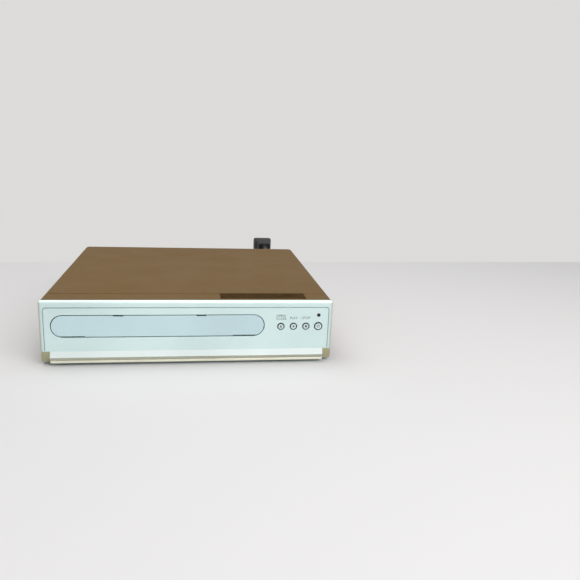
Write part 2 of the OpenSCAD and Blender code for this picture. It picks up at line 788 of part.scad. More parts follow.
module pulley_gear() {
    color("white") difference() {
        union() {
            rod_up(pulley_x, gear_y, pulley_z, pulley_z + 1.4, pulley_r);
            rod_up(pulley_x, gear_y, pulley_z + 1.4, pulley_z + 2.9, pulley_groove_r);
            rod_up(pulley_x, gear_y, pulley_z + 2.9, pulley_z + pulley_h, pulley_r);
            translate([pulley_x, gear_y, pulley_z + pulley_h - 0.5])
                gear(gear_m, small_n, gear_h + 2.2, 180 / small_n);
            rod_up(pulley_x, gear_y, deck_z + 0.2, pulley_z, 3);
        }
        rod_up(pulley_x, gear_y, deck_z - 1, gear_z + 20, post_r + run);
    }
}

module drive_gear() {
    color("white") difference() {
        union() {
            translate([drive_x, gear_y, gear_z]) gear(gear_m, large_n, gear_h, 0);
            translate([drive_x, gear_y, gear_z + gear_h - 0.5])
                gear(rack_m, pinion_n, tray_z - 0.8 - gear_z - gear_h + 0.5, 180 / pinion_n);
            rod_up(drive_x, gear_y, deck_z + 0.2, gear_z + 0.5, 4);
        }
        rod_up(drive_x, gear_y, deck_z - 1, tray_z + 1, drive_post_r + run);
    }
}

// Height of a cam pin's middle inside the slider, for a level height z
function hung_z(y, z) = hinge_z + (y - hinge_y) * sin(tilt) + (z - hinge_z) * cos(tilt);

module cam_slider() {
    mid_y = (slider_y0 + slider_y1) / 2;
    low = hung_z(mid_y, cam_pin_z);
    color("white") difference() {
        block(tray_x - cam_pin_x - slider_travel - 5, tray_x + frame_in - slider_travel - 1,
            slider_y0, slider_y1, pan_top + 0.5, cam_pin_z + 3.2);
        for (s = [-1, 1]) hull() {
            for (p = [[0, low], [-slider_travel, cam_pin_z]])
                rod_back(tray_x + s * cam_pin_x + p[0], p[1], slider_y0 - 1, slider_y1 + 1,
                    cam_pin_r + 0.45);
        }
    }
}

// Traverse, drawn level and hung at rest ----------------------------------

module traverse_frame() {
    x = tray_x;
    color("#303034") hung() difference() {
        union() {
            block(x - ring_x, x + ring_x, ring_y0, ring_y1, ring_z, ring_z + ring_h);
            for (s = [-1, 1]) {
                block(x + min(s * (ring_x - 5), s * ring_x), x + max(s * (ring_x - 5), s * ring_x),
                    hinge_y - 6, ring_y1, hinge_z - 4, ring_z + 1);
                rod_side(hinge_y, hinge_z, x + min(s * (ring_x - 1), s * (ring_x + 7.5)),
                    x + max(s * (ring_x - 1), s * (ring_x + 7.5)), hinge_pin_r);
                rod_back(x + s * cam_pin_x, cam_pin_z, slider_y0 - 0.3, ring_y0 + 1, cam_pin_r);
            }
        }
        block(x - ring_x + ring_w, x + ring_x - ring_w, ring_y0 + ring_w, ring_y1 - ring_w,
            ring_z - 1, ring_z + ring_h + 1);
    }
}

module damper_bushes() {
    z = ring_z + ring_h;
    color("#1c1c1c") hung() for (p = bush_places) {
        rod_up(p[0], p[1], z, plate_z, 4);
        rod_up(p[0], p[1], plate_z, plate_z + plate_t, 2.6);
        rod_up(p[0], p[1], plate_z + plate_t, plate_z + plate_t + 0.8, 4);
    }
}

module mech_plate() {
    x = tray_x;
    color("silver") hung() difference() {
        block(x - 46, x + 46, spin_y - 19, spin_y + 100, plate_z, plate_z + plate_t);
        block(x - 32, x + 25, spin_y + 13.5, spin_y + 89, plate_z - 1, plate_z + 3);
        rod_up(x, spin_y, plate_z - 1, plate_z + 3, 4);
        for (p = bush_places) rod_up(p[0], p[1], plate_z - 1, plate_z + 3, 2.7);
    }
}

module spindle_motor() {
    color("silver") hung() difference() {
        union() {
            rod_up(tray_x, spin_y, plate_z - spindle_motor_h, plate_z, spindle_motor_r);
            rod_up(tray_x, spin_y, plate_z, plate_z + plate_t + 0.5, 3.5);
        }
        rod_up(tray_x, spin_y, plate_z - spindle_motor_h + 1.5, plate_z + 5, spindle_r + run);
    }
}

module turntable() {
    z = seat_z;
    color("#d8d8d4") hung() {
        rod_up(tray_x, spin_y, plate_z - spindle_motor_h + 1.8, z - 2, spindle_r);
        rod_up(tray_x, spin_y, plate_z + plate_t + 1, z - 2.6, 5);
        rod_up(tray_x, spin_y, z - 2.6, z, 14);
        translate([tray_x, spin_y, z]) cylinder(h = 2.2, r1 = 7.45, r2 = 6);
    }
}

module guide_rods() {
    color("silver") hung() for (s = [-1, 1])
        rod_back(tray_x + s * rod_x_off, rod_z, rod_y0, rod_y1, rod_r);
}

module rod_clips() {
    color("#303034") hung() for (s = [-1, 1], y = [rod_y0, rod_y1 - clip_t]) difference() {
        block(tray_x + s * rod_x_off - 3, tray_x + s * rod_x_off + 3, y, y + clip_t,
            rod_z - 3, plate_z);
        rod_back(tray_x + s * rod_x_off, rod_z, y - 1, y + clip_t + 1, rod_r);
    }
    color("#303034") hung() difference() {
        block(screw_x - 3, screw_x + 3, rod_y0, rod_y0 + clip_t, lead_z - 3, plate_z);
        rod_back(screw_x, lead_z, rod_y0 - 1, rod_y0 + clip_t + 1, lead_r + run);
    }
}

module pickup_sled() {
    x = tray_x;
    y0 = lens_y - 10;
    color("#3a3a40") hung() difference() {
        union() {
            block(x - 23, x + 23, y0, y0 + 30, rod_z - 3.5, rod_z + 3.5);
            block(x - 11, x + 11, y0 + 1, y0 + 20, rod_z + 3, seat_z - 4.2);
            block(x - 31, x - 22, y0 + 8, y0 + 14, lead_z - 3, rod_z + 1);
        }
        for (s = [-1, 1]) rod_back(x + s * rod_x_off, rod_z, y0 - 1, y0 + 31, rod_r + run);
        rod_back(screw_x, lead_z, y0 - 1, y0 + 31, lead_r + 0.1);
        rod_up(x, lens_y, seat_z - 6, seat_z, 4.5);
    }
}

module pickup_lens() {
    color("#8890c8") hung() intersection() {
        rod_up(tray_x, lens_y, seat_z - 6, seat_z - 2.4, 4.4);
        translate([tray_x, lens_y, seat_z - 14.4]) sphere(r = 12);
    }
}

module sled_motor() {
    color("silver") hung() rod_back(screw_x, lead_z, sled_motor_y, sled_motor_y + 13, 6);
}

module lead_screw() {
    color("gray") hung() rod_back(screw_x, lead_z, rod_y0 - 2, sled_motor_y - 0.1, lead_r);
}

// Boards and sockets ------------------------------------------------------

module board(x0, x1, y0, y1, places) {
    difference() {
        block(x0, x1, y0, y1, board_z, board_z + board_t);
        for (p = places) rod_up(p[0], p[1], board_z - 1, board_z + board_t + 1, post_hole_r);
    }
}

module main_board() {
    color("darkgreen") board(board_x0, board_x1, main_y0, main_y1,
        [for (i = [0:3]) post_places[i]]);
}

module power_board() {
    color("peru") board(board_x0, board_x1, power_y0, power_y1,
        [for (i = [4:7]) post_places[i]]);
}

module jack_board() {
    color("peru") board(jack_board_x0, jack_board_x1, jack_board_y0, jack_board_y1,
        [for (i = [8:9]) post_places[i]]);
}

module chip(x, y, w, d, h) {
    block(x, x + w, y, y + d, board_z + board_t, board_z + board_t + h);
}

module main_chips() {
    color("#1a1a1a") {
        chip(board_x0 + 14, main_y0 + 40, 24, 24, 1.6);
        chip(board_x0 + 14, main_y0 + 70, 15, 10, 1.2);
        chip(board_x0 + 12, main_y0 + 86, 12, 14, 1.2);
        chip(board_x0 + 12, main_y0 + 16, 16, 10, 2.2);
        chip(board_x0 + 34, main_y0 + 18, 6, 12, 3.5);
    }
}

module board_connectors() {
    color("ivory") {
        chip(board_x0 + 2, main_y0 + 36, 5, 28, 5);
        chip(board_x0 + 2, main_y0 + 74, 6, 14, 6);
        chip(board_x1 - 24, main_y0 + 1, 16, 5, 5);
        chip(board_x0 + 16, main_y1 - 7, 20, 5, 6);
        chip(board_x0 + 16, power_y0 + 2, 20, 5, 6);
        chip(board_x1 - 18, power_y1 - 16, 12, 8, 8);
        chip(jack_board_x1 - 32, jack_board_y0 + 1, 22, 5, 6);
    }
}

module transformer() {
    x = board_x0 + 10;
    y = power_y0 + 18;
    color("goldenrod") {
        chip(x, y + 4, 28, 16, 5);
        translate([0, 0, 5]) chip(x + 3, y + 4, 22, 16, 12);
    }
    color("dimgray") {
        translate([0, 0, 17]) chip(x, y + 4, 28, 16, 5);
    }
}

module capacitors() {
    z = board_z + board_t;
    color("navy") {
        rod_up(board_x0 + 13, power_y1 - 18, z, z + 26, 8);
        for (i = [0:3]) rod_up(board_x0 + 8 + i * 9, power_y0 + 13, z, z + 12, 3.8);
        for (i = [0:2]) rod_up(board_x0 + 34, main_y0 + 74 + i * 8, z, z + 7, 3);
    }
}

module power_heatsink() {
    z = board_z + board_t;
    x = board_x0 + 42;
    y = power_y0 + 24;
    color("silver") {
        block(x, x + 2, y, y + 24, z, z + 24);
        for (i = [0:3]) block(x + 1.9, x + 6, y + 1 + i * 7, y + 2.4 + i * 7, z + 2, z + 24);
    }
}

module fuse() {
    z = board_z + board_t + 4.5;
    x = board_x0 + 30;
    color("silver") rod_back(x, z, power_y1 - 29, power_y1 - 9, 2.6);
    color("silver") for (y = [power_y1 - 28, power_y1 - 13])
        block(x - 1.5, x + 1.5, y, y + 3, board_z + board_t, z - 2.3);
}

module jack_block() {
    x0 = jack_x[0] - 8;
    x1 = digital_x + 8;
    z1 = jack_z[1] + 8;
    color("#161616") difference() {
        block(x0, x1, jack_board_y1 - 14, panel_in - fit, board_z + board_t, z1);
        for (p = jack_places) rod_back(p[0], p[1], panel_in - 8, panel_in + 1, jack_base_r + 0.02);
        rod_back(digital_x, jack_z[1], panel_in - 8, panel_in + 1, video_r + 0.02);
    }
}

module jack_shells() {
    color("silver") for (p = jack_places) difference() {
        union() {
            rod_back(p[0], p[1], panel_in - 8, jack_base_y, jack_base_r);
            rod_back(p[0], p[1], jack_base_y - 0.5, jack_end, jack_r);
        }
        rod_back(p[0], p[1], panel_in - 9, jack_end + 1, jack_r - 0.5);
    }
}

module jack_collars() {
    color("gold") for (p = jack_places) difference() {
        rod_back(p[0], p[1], panel_in - 8, jack_end - 0.5, jack_r - 0.55);
        rod_back(p[0], p[1], pin_hole_y, jack_end + 1, pin_hole_r);
    }
}

module video_socket() {
    color("#161616") difference() {
        rod_back(digital_x, jack_z[1], panel_in - 8, back_y + 1.5, video_r);
        for (a = [45, 135, 225, 315])
            rod_back(digital_x + 3 * cos(a), jack_z[1] + 3 * sin(a), back_y - 3, back_y + 2, 0.6);
    }
}

// Flat cables between the boards, laid on the pan and bent up to their connectors
module ribbon_cables() {
    w = 14;
    z = pan_top + 0.1;
    x1 = board_x0 - 0.6;
    x0 = tray_x + 30;
    y = main_y0 + 44;
    top = board_z + board_t + 2;
    color("whitesmoke") {
        block(x0, x1, y, y + w, z, z + 0.4);
        block(x1, x1 + 0.4, y, y + w, z, top);
        block(x1, board_x0 + 2, y, y + w, top - 0.4, top);
    }
    color("whitesmoke") {
        block(board_x1 - 22, board_x1 - 10, front_board_y + front_board_t, main_y0 + 0.8,
            board_z + board_t + 2, board_z + board_t + 2.4);
    }
}

// Mains lead --------------------------------------------------------------

module cord_relief() {
    color("#151515") {
        rod_back(cord_x, cord_z, panel_in - 3, panel_in, 7.5);
        rod_back(cord_x, cord_z, panel_in, panel_out, 5.95);
        rod_back(cord_x, cord_z, panel_out, panel_out + 2, 7.5);
        translate([cord_x, relief_y, cord_z]) rotate([90, 0, 0])
            cylinder(h = relief_y - panel_out - 2, r1 = 3.7, r2 = 5.2);
    }
}

module cord_lead() {
    color("#151515") tube([for (p = lead_shares) [cord_x + p[0] * (lead_end_x - cord_x),
        relief_y + p[1] * (coil_y - relief_y), cord_r + p[2] * (cord_z - cord_r)]], cord_r);
}

module cord_coil() {
    color("#151515") translate([coil_x, coil_y, 0]) rotate_extrude()
        translate([coil_r - coil_out, 0]) square([2 * coil_out, coil_top]);
}

module cord_tail() {
    color("#151515") tube([for (p = tail_steps) [coil_x + p[0], coil_y + p[1], coil_top + p[2]]],
        cord_r);
}

module cord_tie() {
    y0 = coil_y - coil_r - coil_out;
    y1 = coil_y - coil_r + coil_out;
    color("#303030") difference() {
        block(coil_x - 2, coil_x + 2, y0 - 1, y1 + 1, 0, coil_top + 1);
        block(coil_x - 3, coil_x + 3, y0 - 0.1, y1 + 0.15, -1, coil_top + 0.1);
    }
}

module mains_plug() {
    color("#151515") translate([plug_x, plug_y, plug_z]) {
        intersection() {
            along_x(-plug_w, plug_w) polygon([[0, 3.5], [10, 0], [plug_l, 0], [plug_l, plug_h],
                [14, plug_h], [0, plug_h - 3.5]]);
            linear_extrude(plug_h) polygon([[-8, 0], [8, 0], [plug_w / 2, 18], [plug_w / 2, plug_l],
                [-plug_w / 2, plug_l], [-plug_w / 2, 18]]);
        }
        translate([0, 0, plug_h / 2]) rotate([90, 0, 0])
            cylinder(h = plug_y - plug_tip_y, r1 = 5, r2 = 3.5);
    }
}

module plug_blades() {
    color("silver") for (s = [-1, 1])
        block(plug_x + s * blade_pitch / 2 - 0.75, plug_x + s * blade_pitch / 2 + 0.75,
            plug_y + plug_l, plug_y + plug_l + blade_l,
            plug_z + plug_h / 2 - 3.15, plug_z + plug_h / 2 + 3.15);
}

// Parts -------------------------------------------------------------------

front_bezel();
top_cover();
chassis_pan();
rear_panel();
rubber_feet();
cover_screws();
top_label();
tray_door();
disc_tray();
eject_button();
play_button();
stop_button();
power_button();
receiver_window();
front_board();
front_switches();
inner_screws();
loader_frame();
clamp_bridge();
clamp_puck();
clamp_magnet();
loading_motor();
motor_pulley();
loading_belt();
pulley_gear();
drive_gear();
cam_slider();
traverse_frame();
damper_bushes();
mech_plate();
spindle_motor();
turntable();
guide_rods();
rod_clips();
pickup_sled();
pickup_lens();
sled_motor();
lead_screw();
main_board();
main_chips();
board_connectors();
power_board();
transformer();
capacitors();
power_heatsink();
fuse();
jack_board();
jack_block();
jack_shells();
jack_collars();
video_socket();
ribbon_cables();
cord_relief();
cord_lead();
cord_coil();
cord_tail();
cord_tie();
mains_plug();
plug_blades();
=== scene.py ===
"""Looks of a compact disc player: its pieces, finishes, light and camera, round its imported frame."""

import json
import math

import bmesh
import bpy
from mathutils import Matrix, Vector


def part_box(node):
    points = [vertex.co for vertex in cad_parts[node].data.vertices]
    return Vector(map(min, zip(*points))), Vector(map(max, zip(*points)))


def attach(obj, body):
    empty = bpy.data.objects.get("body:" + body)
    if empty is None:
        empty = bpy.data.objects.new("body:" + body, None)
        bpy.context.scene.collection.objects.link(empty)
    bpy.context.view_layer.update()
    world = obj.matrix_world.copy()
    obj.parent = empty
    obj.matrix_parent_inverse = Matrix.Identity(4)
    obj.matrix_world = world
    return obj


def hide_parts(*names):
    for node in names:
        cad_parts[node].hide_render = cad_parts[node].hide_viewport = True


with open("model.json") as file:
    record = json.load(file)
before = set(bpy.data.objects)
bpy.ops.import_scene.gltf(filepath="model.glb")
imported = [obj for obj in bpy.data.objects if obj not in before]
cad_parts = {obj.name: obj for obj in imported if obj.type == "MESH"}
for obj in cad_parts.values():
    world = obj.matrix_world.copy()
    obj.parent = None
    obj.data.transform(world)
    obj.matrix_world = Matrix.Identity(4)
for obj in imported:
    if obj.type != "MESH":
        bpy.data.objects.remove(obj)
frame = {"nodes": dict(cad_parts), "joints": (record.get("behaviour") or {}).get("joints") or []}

bl_info = {
    "name": "Compact Disc Player",
    "version": (1, 0, 0),
    "blender": (4, 5, 0),
    "location": "3D View > Sidebar > Disc Player",
    "description": "Builds the looks of a compact disc player round its packed frame",
    "category": "Object",
}

MM = 0.001
UP = Vector((0, 0, 1))
FRONT = Vector((0, -1, 0))
BACK = Vector((0, 1, 0))
RIGHT = Vector((1, 0, 0))
LEFT = Vector((-1, 0, 0))


def box_mm(node):
    """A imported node's lowest and highest corners, in millimetres."""
    return tuple(Vector([round(part / MM, 3) for part in corner]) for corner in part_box(node))


# Planes of the case, in millimetres as everywhere below, unless metres are named
LIP_OUT = 3.0
FACE_Y = box_mm("front_bezel")[0].y + LIP_OUT
SIDE_X, BACK_Y, TOP_Z = box_mm("top_cover")[1]
BOARD_TOP = box_mm("main_board")[1].z
LIP_END = 112.6
CHIN_TOP = 12.5

# Each button's radius, the collar behind its cap, and where the frame has it: x, z and radius
BUTTON_RADIUS = {"eject": 2.6, "play": 2.6, "stop": 2.6, "power": 3.1}
COLLAR = 1.4


def button_place(key):
    """A button's middle on the front, and its radius."""
    low, high = box_mm(f"{key}_button")
    return high.x - BUTTON_RADIUS[key] - COLLAR, (low.z + high.z) / 2, BUTTON_RADIUS[key]


BUTTONS = {key: button_place(key) for key in BUTTON_RADIUS}

# The disc turns round SPIN; the traverse hangs from its hinge, in metres, lowered at rest
JOINTS = {joint["name"]: joint for joint in frame["joints"]}
SPIN = Vector(JOINTS["clamp_spin"]["pos_m"]) / MM
LOADING_MOTOR = Vector(JOINTS["motor_spin"]["pos_m"]) / MM
HINGE = Vector(JOINTS["traverse_tilt"]["pos_m"])
TILT = math.radians(JOINTS["traverse_tilt"]["range_deg"][1])
SLED_SCREW = Vector((-53.0, -34.5, 19.5))

# Mains lead: the way from its relief to the coil, the coil's middle and its free end
LEAD_FROM = Vector((96.0, 133.0, 20.0))
LEAD_TO = Vector((119.5, 230.0, 2.85))
LEAD_SHARES = (
    (0, 0, 1), (0, 0.07, 1), (0, 0.14, 0.97), (0.02, 0.21, 0.89), (0.06, 0.28, 0.77),
    (0.13, 0.35, 0.62), (0.23, 0.42, 0.46), (0.35, 0.49, 0.31), (0.48, 0.56, 0.18),
    (0.62, 0.63, 0.09), (0.74, 0.7, 0.03), (0.84, 0.77, 0), (0.92, 0.84, 0),
    (0.97, 0.91, 0), (1, 0.96, 0), (1, 1, 0),
)
COIL = Vector((87.0, 230.0, 0.0))
COIL_TOP = 22.0
COIL_INNER, COIL_OUTER = 27.15, 32.5
# Each move of the winding: where it starts and ends, in degrees, and its new radius and height
COIL_MOVES = (
    (292, 356, COIL_INNER, 2.85), (608, 652, COIL_INNER, 8.25), (904, 968, COIL_OUTER, 8.25),
    (1220, 1264, COIL_OUTER, 13.75), (1516, 1580, COIL_INNER, 13.75),
    (1832, 1876, COIL_INNER, 19.0), (1916, 2268, COIL_OUTER, 19.0),
)
COIL_END, COIL_STEPS = 2238, 80
TAIL_STEPS = (
    (-4, 32.5, -2.9), (-12.2, 30.2, -2), (-19.3, 25.6, -0.2), (-24.6, 19.2, 1.7),
    (-28.1, 11.4, 2.8), (-30, 3, 3), (-29.8, -4, 3.1), (-27.8, -9.7, 3.4),
    (-24.6, -14.8, 3.8), (-20.2, -18.8, 4.3), (-14.9, -21.6, 4.9), (-9, -22.9, 5.5),
    (-3, -22.7, 6.1), (2.7, -20.8, 6.7), (7.8, -17.6, 7.3), (11.8, -13.2, 7.9),
    (14.6, -7.9, 8.5), (15.8, -2, 8.9), (16, 3, 9.2), (16, 6, 9.2),
)
PLUG = Vector((103.0, 244.0, 22.2))

# Camera: its place, its turns in radians and its lens in millimetres
CAMERA_PLACE = Vector((0.66, -598.6, 192.5))
CAMERA_YAW, CAMERA_PITCH, CAMERA_ROLL = 0.167478, 0.256669, 0.0454578
CAMERA_LENS, CAMERA_SENSOR = 37.27, 36.0

# Stage, in metres and watts: each lamp's name, place, aim, size and power
LAMPS = (
    ("lamp_front", (0.32, -0.80, 0.78), (0, -0.1, 0.02), 0.7, 5.6),
    ("lamp_top", (-0.2, 0.2, 1.5), (0, 0, 0), 1.4, 14.3),
    ("lamp_right", (1.1, -0.7, 0.7), (0, 0, 0.02), 0.8, 2.6),
)
ROOM_LIGHT = 0.3
WALL = (0.72, 0.71, 0.70)
TABLE = (0.70, 0.69, 0.69)
TABLE_SIZE, TABLE_MIDDLE = 14.0, (0, 4.0, 0)
TABLE_TURN, TABLE_EDGE, TABLE_FADE = -0.0471, (0.282, 0.287), (0.75, 1.25)


def size_property(name, description, default, low, high):
    """A length in metres that the sidebar shows in the scene's unit."""
    return bpy.props.FloatProperty(name=name, description=description, default=default,
                                   min=low, max=high, precision=5, unit="LENGTH")


class PlayerSizes(bpy.types.PropertyGroup):
    """Sizes that a user may change."""

    mould_round: size_property("Moulded edge", "Radius on the edges of the moulded front",
                               0.00022, 0.00005, 0.001)
    sheet_round: size_property("Sheet edge", "Radius on the cut edges of the steel sheets",
                               0.00009, 0.00002, 0.0004)
    small_round: size_property("Small edge", "Radius on the edges of the small inner pieces",
                               0.00012, 0.00002, 0.0005)
    lead_diameter: size_property("Lead diameter", "Thickness of the mains lead", 0.0055, 0.004, 0.008)
    print_height: size_property("Print height", "Height of the words over the buttons",
                                0.0021, 0.001, 0.003)
    print_proud: size_property("Print thickness", "How far the ink stands on the face",
                               0.00003, 0.00001, 0.0001)
    plug_ribs: bpy.props.IntProperty(
        name="Plug ribs", description="Grip ribs across the mains plug", default=5, min=2, max=8)


def colour_property(name, description, value):
    """A colour that the sidebar shows."""
    return bpy.props.FloatVectorProperty(name=name, description=description, default=value,
                                         subtype="COLOR", size=3, min=0.0, max=1.0)


class PlayerColours(bpy.types.PropertyGroup):
    """Colours that a user may change."""

    face: colour_property("Face", "Silver paint of the front", (0.72, 0.92, 0.905))
    face_low: colour_property("Face shade", "Cloudy part of the front's paint", (0.64, 0.83, 0.82))
    # Painted shade with a painted warm reflection: the chin's faces look down under the lip.
    chin: colour_property("Chin", "Warm grey under the lip", (0.55, 0.55, 0.445))
    # Painted shade: this dark beige on the face's flanks stands in for the shade on its rounded sides.
    rim: colour_property("Rim", "Bare plastic of the bezel's flanks", (0.44, 0.43, 0.33))
    # Painted shade with a painted warm reflection on the chin's ends, given as plastic.
    corner: colour_property("Corners", "Plastic beside the lip's ends", (0.43, 0.41, 0.26))
    door: colour_property("Door", "Silver-blue paint of the tray's door", (0.61, 0.82, 0.87))
    button: colour_property("Buttons", "Plastic of the buttons", (0.76, 0.88, 0.90))
    cover: colour_property("Cover", "Taupe paint of the steel cover", (0.150, 0.092, 0.036))
    zinc: colour_property("Zinc sheet", "Plating of the pan and the rear panel", (0.50, 0.51, 0.50))
    rubber: colour_property("Rubber", "Feet, bushes and belt", (0.018, 0.018, 0.018))
    ink: colour_property("Ink", "Print on the front", (0.05, 0.07, 0.07))
    label: colour_property("Label", "Bare film on the cover", (0.034, 0.017, 0.003))
    tray: colour_property("Tray", "Moulded disc tray", (0.045, 0.045, 0.05))
    frame: colour_property("Frame", "Moulded loader and traverse", (0.02, 0.02, 0.023))
    gear: colour_property("Gears", "Natural acetal", (0.72, 0.71, 0.66))
    board_green: colour_property("Green board", "Lacquer of the main boards", (0.01, 0.075, 0.03))
    board_tan: colour_property("Tan board", "Paper board of the power supply", (0.33, 0.20, 0.08))
    cable: colour_property("Cable", "Sheath of the mains lead", (0.012, 0.012, 0.012))


# Modelling helpers: sizes in millimetres, apart from the widths that modifiers take -----------


def deselect():
    """Leaves edit mode and selects nothing, so that an operator acts on what is picked next."""
    if bpy.context.mode != "OBJECT":
        bpy.ops.object.mode_set(mode="OBJECT")
    bpy.ops.object.select_all(action="DESELECT")


def only(piece):
    """Makes a piece the only selected object."""
    deselect()
    piece.select_set(True)
    bpy.context.view_layer.objects.active = piece
    return piece


def settle(piece):
    """Puts a piece's place, turn and scale into its mesh."""
    only(piece)
    bpy.ops.object.transform_apply(location=True, rotation=True, scale=True)
    return piece


def named(name):
    """Names the object that an operator has just made, and puts its place into its mesh."""
    piece = bpy.context.object
    piece.name = name
    piece.data.name = name
    return settle(piece)


def around(middle, half):
    """The span that reaches as far to both sides of a middle."""
    return middle - half, middle + half


def slab(name, x, y, z):
    """A cube that fills three spans."""
    deselect()
    spans = [(min(s), max(s)) for s in (x, y, z)]
    bpy.ops.mesh.primitive_cube_add(
        size=1, location=[(a + b) / 2 * MM for a, b in spans],
        scale=[(b - a) * MM for a, b in spans])
    return named(name)


def aim(way):
    """The turn that points +Z along a way."""
    return way.to_track_quat("Z", "Y").to_euler()


def rod(name, start, way, length, radius, sides=48):
    """A cylinder from a start point along a way."""
    deselect()
    middle = (Vector(start) + way * length / 2) * MM
    bpy.ops.mesh.primitive_cylinder_add(
        vertices=sides, radius=radius * MM, depth=length * MM, location=middle, rotation=aim(way))
    return named(name)


def edit(piece, kind="FACE", action="DESELECT"):
    """Enters edit mode on one piece with nothing or all of it picked."""
    only(piece)
    bpy.ops.object.mode_set(mode="EDIT")
    bpy.ops.mesh.select_mode(type=kind)
    bpy.ops.mesh.select_all(action=action)
    return bmesh.from_edit_mesh(piece.data)


def pick(piece, kind, passes):
    """Picks a piece's faces, edges or points that pass."""
    shape = edit(piece, kind)
    for part in {"FACE": shape.faces, "EDGE": shape.edges, "VERT": shape.verts}[kind]:
        if passes(part):
            part.select = True
    if kind != "EDGE":
        shape.select_flush(True)
    bmesh.update_edit_mesh(piece.data)


def pick_faces(piece, test):
    """Picks the faces whose middle and normal pass a test."""
    pick(piece, "FACE", lambda face: test(face.calc_center_median() / MM, face.normal))


def inset_faces(piece, width, depth, test):
    """Insets the faces that pass a test and sinks or raises them."""
    pick_faces(piece, test)
    bpy.ops.mesh.inset(thickness=width * MM, depth=depth * MM)
    deselect()


def bevel_edges(piece, width, segments, test, angle=0, clamp=True):
    """Rounds the edges that turn by an angle at least and whose two ends pass a test."""
    pick(piece, "EDGE", lambda edge: edge.calc_face_angle(0) >= math.radians(angle)
         and test(edge.verts[0].co / MM, edge.verts[1].co / MM))
    bpy.ops.mesh.bevel(offset=width * MM, segments=segments, affect="EDGES",
                       clamp_overlap=clamp)
    deselect()


def upright(a, b):
    """True for an edge that runs up and down."""
    return abs(a.z - b.z) > 0.1


def looks_up(p, n):
    """True for a face that looks up."""
    return n.z > 0.9


def outward(piece):
    """Merges doubles and turns all faces of a closed piece outwards."""
    edit(piece, "VERT", "SELECT")
    bpy.ops.mesh.remove_doubles(threshold=1e-6)
    bpy.ops.mesh.normals_make_consistent(inside=False)
    deselect()
    return piece


def modify(piece, kind, **values):
    """Adds a modifier and applies it at once."""
    only(piece)
    change = piece.modifiers.new(kind.title(), kind)
    for key, value in values.items():
        setattr(change, key, value)
    bpy.ops.object.modifier_apply(modifier=change.name)
    return piece


def cut(piece, *tools, how="DIFFERENCE"):
    """Takes tools out of a piece, or adds them to it."""
    for tool in tools:
        modify(piece, "BOOLEAN", operation=how, object=tool, solver="EXACT")
        bpy.data.objects.remove(tool)
    return piece


def rounded(piece, width, segments=2, angle=35):
    """Rounds every sharp edge of a piece; the width is in metres."""
    return modify(piece, "BEVEL", width=width, segments=segments, limit_method="ANGLE",
                  angle_limit=math.radians(angle), use_clamp_overlap=False)


def smooth(piece, angle=38):
    """Shades a piece smoothly, apart from its sharp edges, and keeps its flat faces flat."""
    only(piece)
    bpy.ops.object.shade_smooth_by_angle(angle=math.radians(angle))
    return modify(piece, "WEIGHTED_NORMAL", mode="FACE_AREA", weight=80, keep_sharp=True)


def repeated(piece, count, step):
    """Repeats a piece along a step, which is in metres."""
    return modify(piece, "ARRAY", count=count, use_relative_offset=False,
                  use_constant_offset=True, constant_offset_displace=step)


def second_finish(piece, name, test):
    """Gives the faces that pass a test, by their middle and normal, another finish."""
    piece.data.materials.append(FINISHES[name])
    for face in piece.data.polygons:
        if test(face.center / MM, face.normal):
            face.material_index = len(piece.data.materials) - 1


def turned(name, start, way, steps, sides=48, angle=38):
    """Turns a piece on its axis: a disc is extruded and scaled through (distance, radius) steps."""
    deselect()
    first, size = steps[0]
    bpy.ops.mesh.primitive_circle_add(
        vertices=sides, radius=size * MM, fill_type="NGON", rotation=aim(way),
        location=(Vector(start) + way * first) * MM)
    piece = named(name)
    edit(piece, "FACE", "SELECT")
    for (near, old), (far, new) in zip(steps, steps[1:]):
        bpy.ops.mesh.extrude_region_move(
            TRANSFORM_OT_translate={"value": way * (far - near) * MM})
        if abs(new - old) > 1e-6:
            bpy.ops.transform.resize(value=(new / old, new / old, new / old))
    outward(piece)
    return smooth(piece, angle)


def copy_of(piece, name, step=(0, 0, 0), turn=None):
    """A copy with its own mesh, moved by a step or put where a matrix says."""
    only(piece)
    bpy.ops.object.duplicate(linked=False)
    twin = bpy.context.object
    twin.name = name
    twin.data.name = name
    twin.matrix_world = turn if turn is not None else Matrix.Translation(Vector(step) * MM)
    return settle(twin)


def joined(name, pieces):
    """Joins loose pieces into one object."""
    deselect()
    for piece in pieces:
        piece.select_set(True)
    bpy.context.view_layer.objects.active = pieces[0]
    bpy.ops.object.join()
    return named(name)


def core_of(node, name):
    """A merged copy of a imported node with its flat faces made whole, ready to be worked on."""
    source = frame["nodes"][node]
    twin = source.copy()
    twin.data = source.data.copy()
    twin.parent = None
    for key in list(twin.keys()):
        del twin[key]
    bpy.context.scene.collection.objects.link(twin)
    twin.matrix_world = Matrix.Identity(4)
    twin.name = name
    twin.data.name = name
    only(twin)
    bpy.ops.mesh.customdata_custom_splitnormals_clear()
    edit(twin, "VERT", "SELECT")
    bpy.ops.mesh.remove_doubles(threshold=2e-6)
    bpy.ops.mesh.mark_sharp(clear=True)
    bpy.ops.mesh.dissolve_limited(angle_limit=math.radians(0.6))
    deselect()
    return twin


def pivoted(turn, pivot):
    """A turn about a pivot, which is in metres."""
    return Matrix.Translation(pivot) @ turn @ Matrix.Translation(-pivot)


def hung(piece):
    """Hangs a piece that was modelled level at the lowered place of the traverse."""
    piece.matrix_world = pivoted(Matrix.Rotation(TILT, 4, "X"), HINGE) @ piece.matrix_world
    return settle(piece)


def hand_over(piece, body, slot, finish_name, *nodes):
    """Gives a piece its finish and its body, and hides the nodes that it stands for. The slot is not
    used.
    """
    piece.data.materials.clear()
    piece.data.materials.append(FINISHES[finish_name])
    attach(piece, body)
    if nodes:
        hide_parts(*nodes)
    return piece


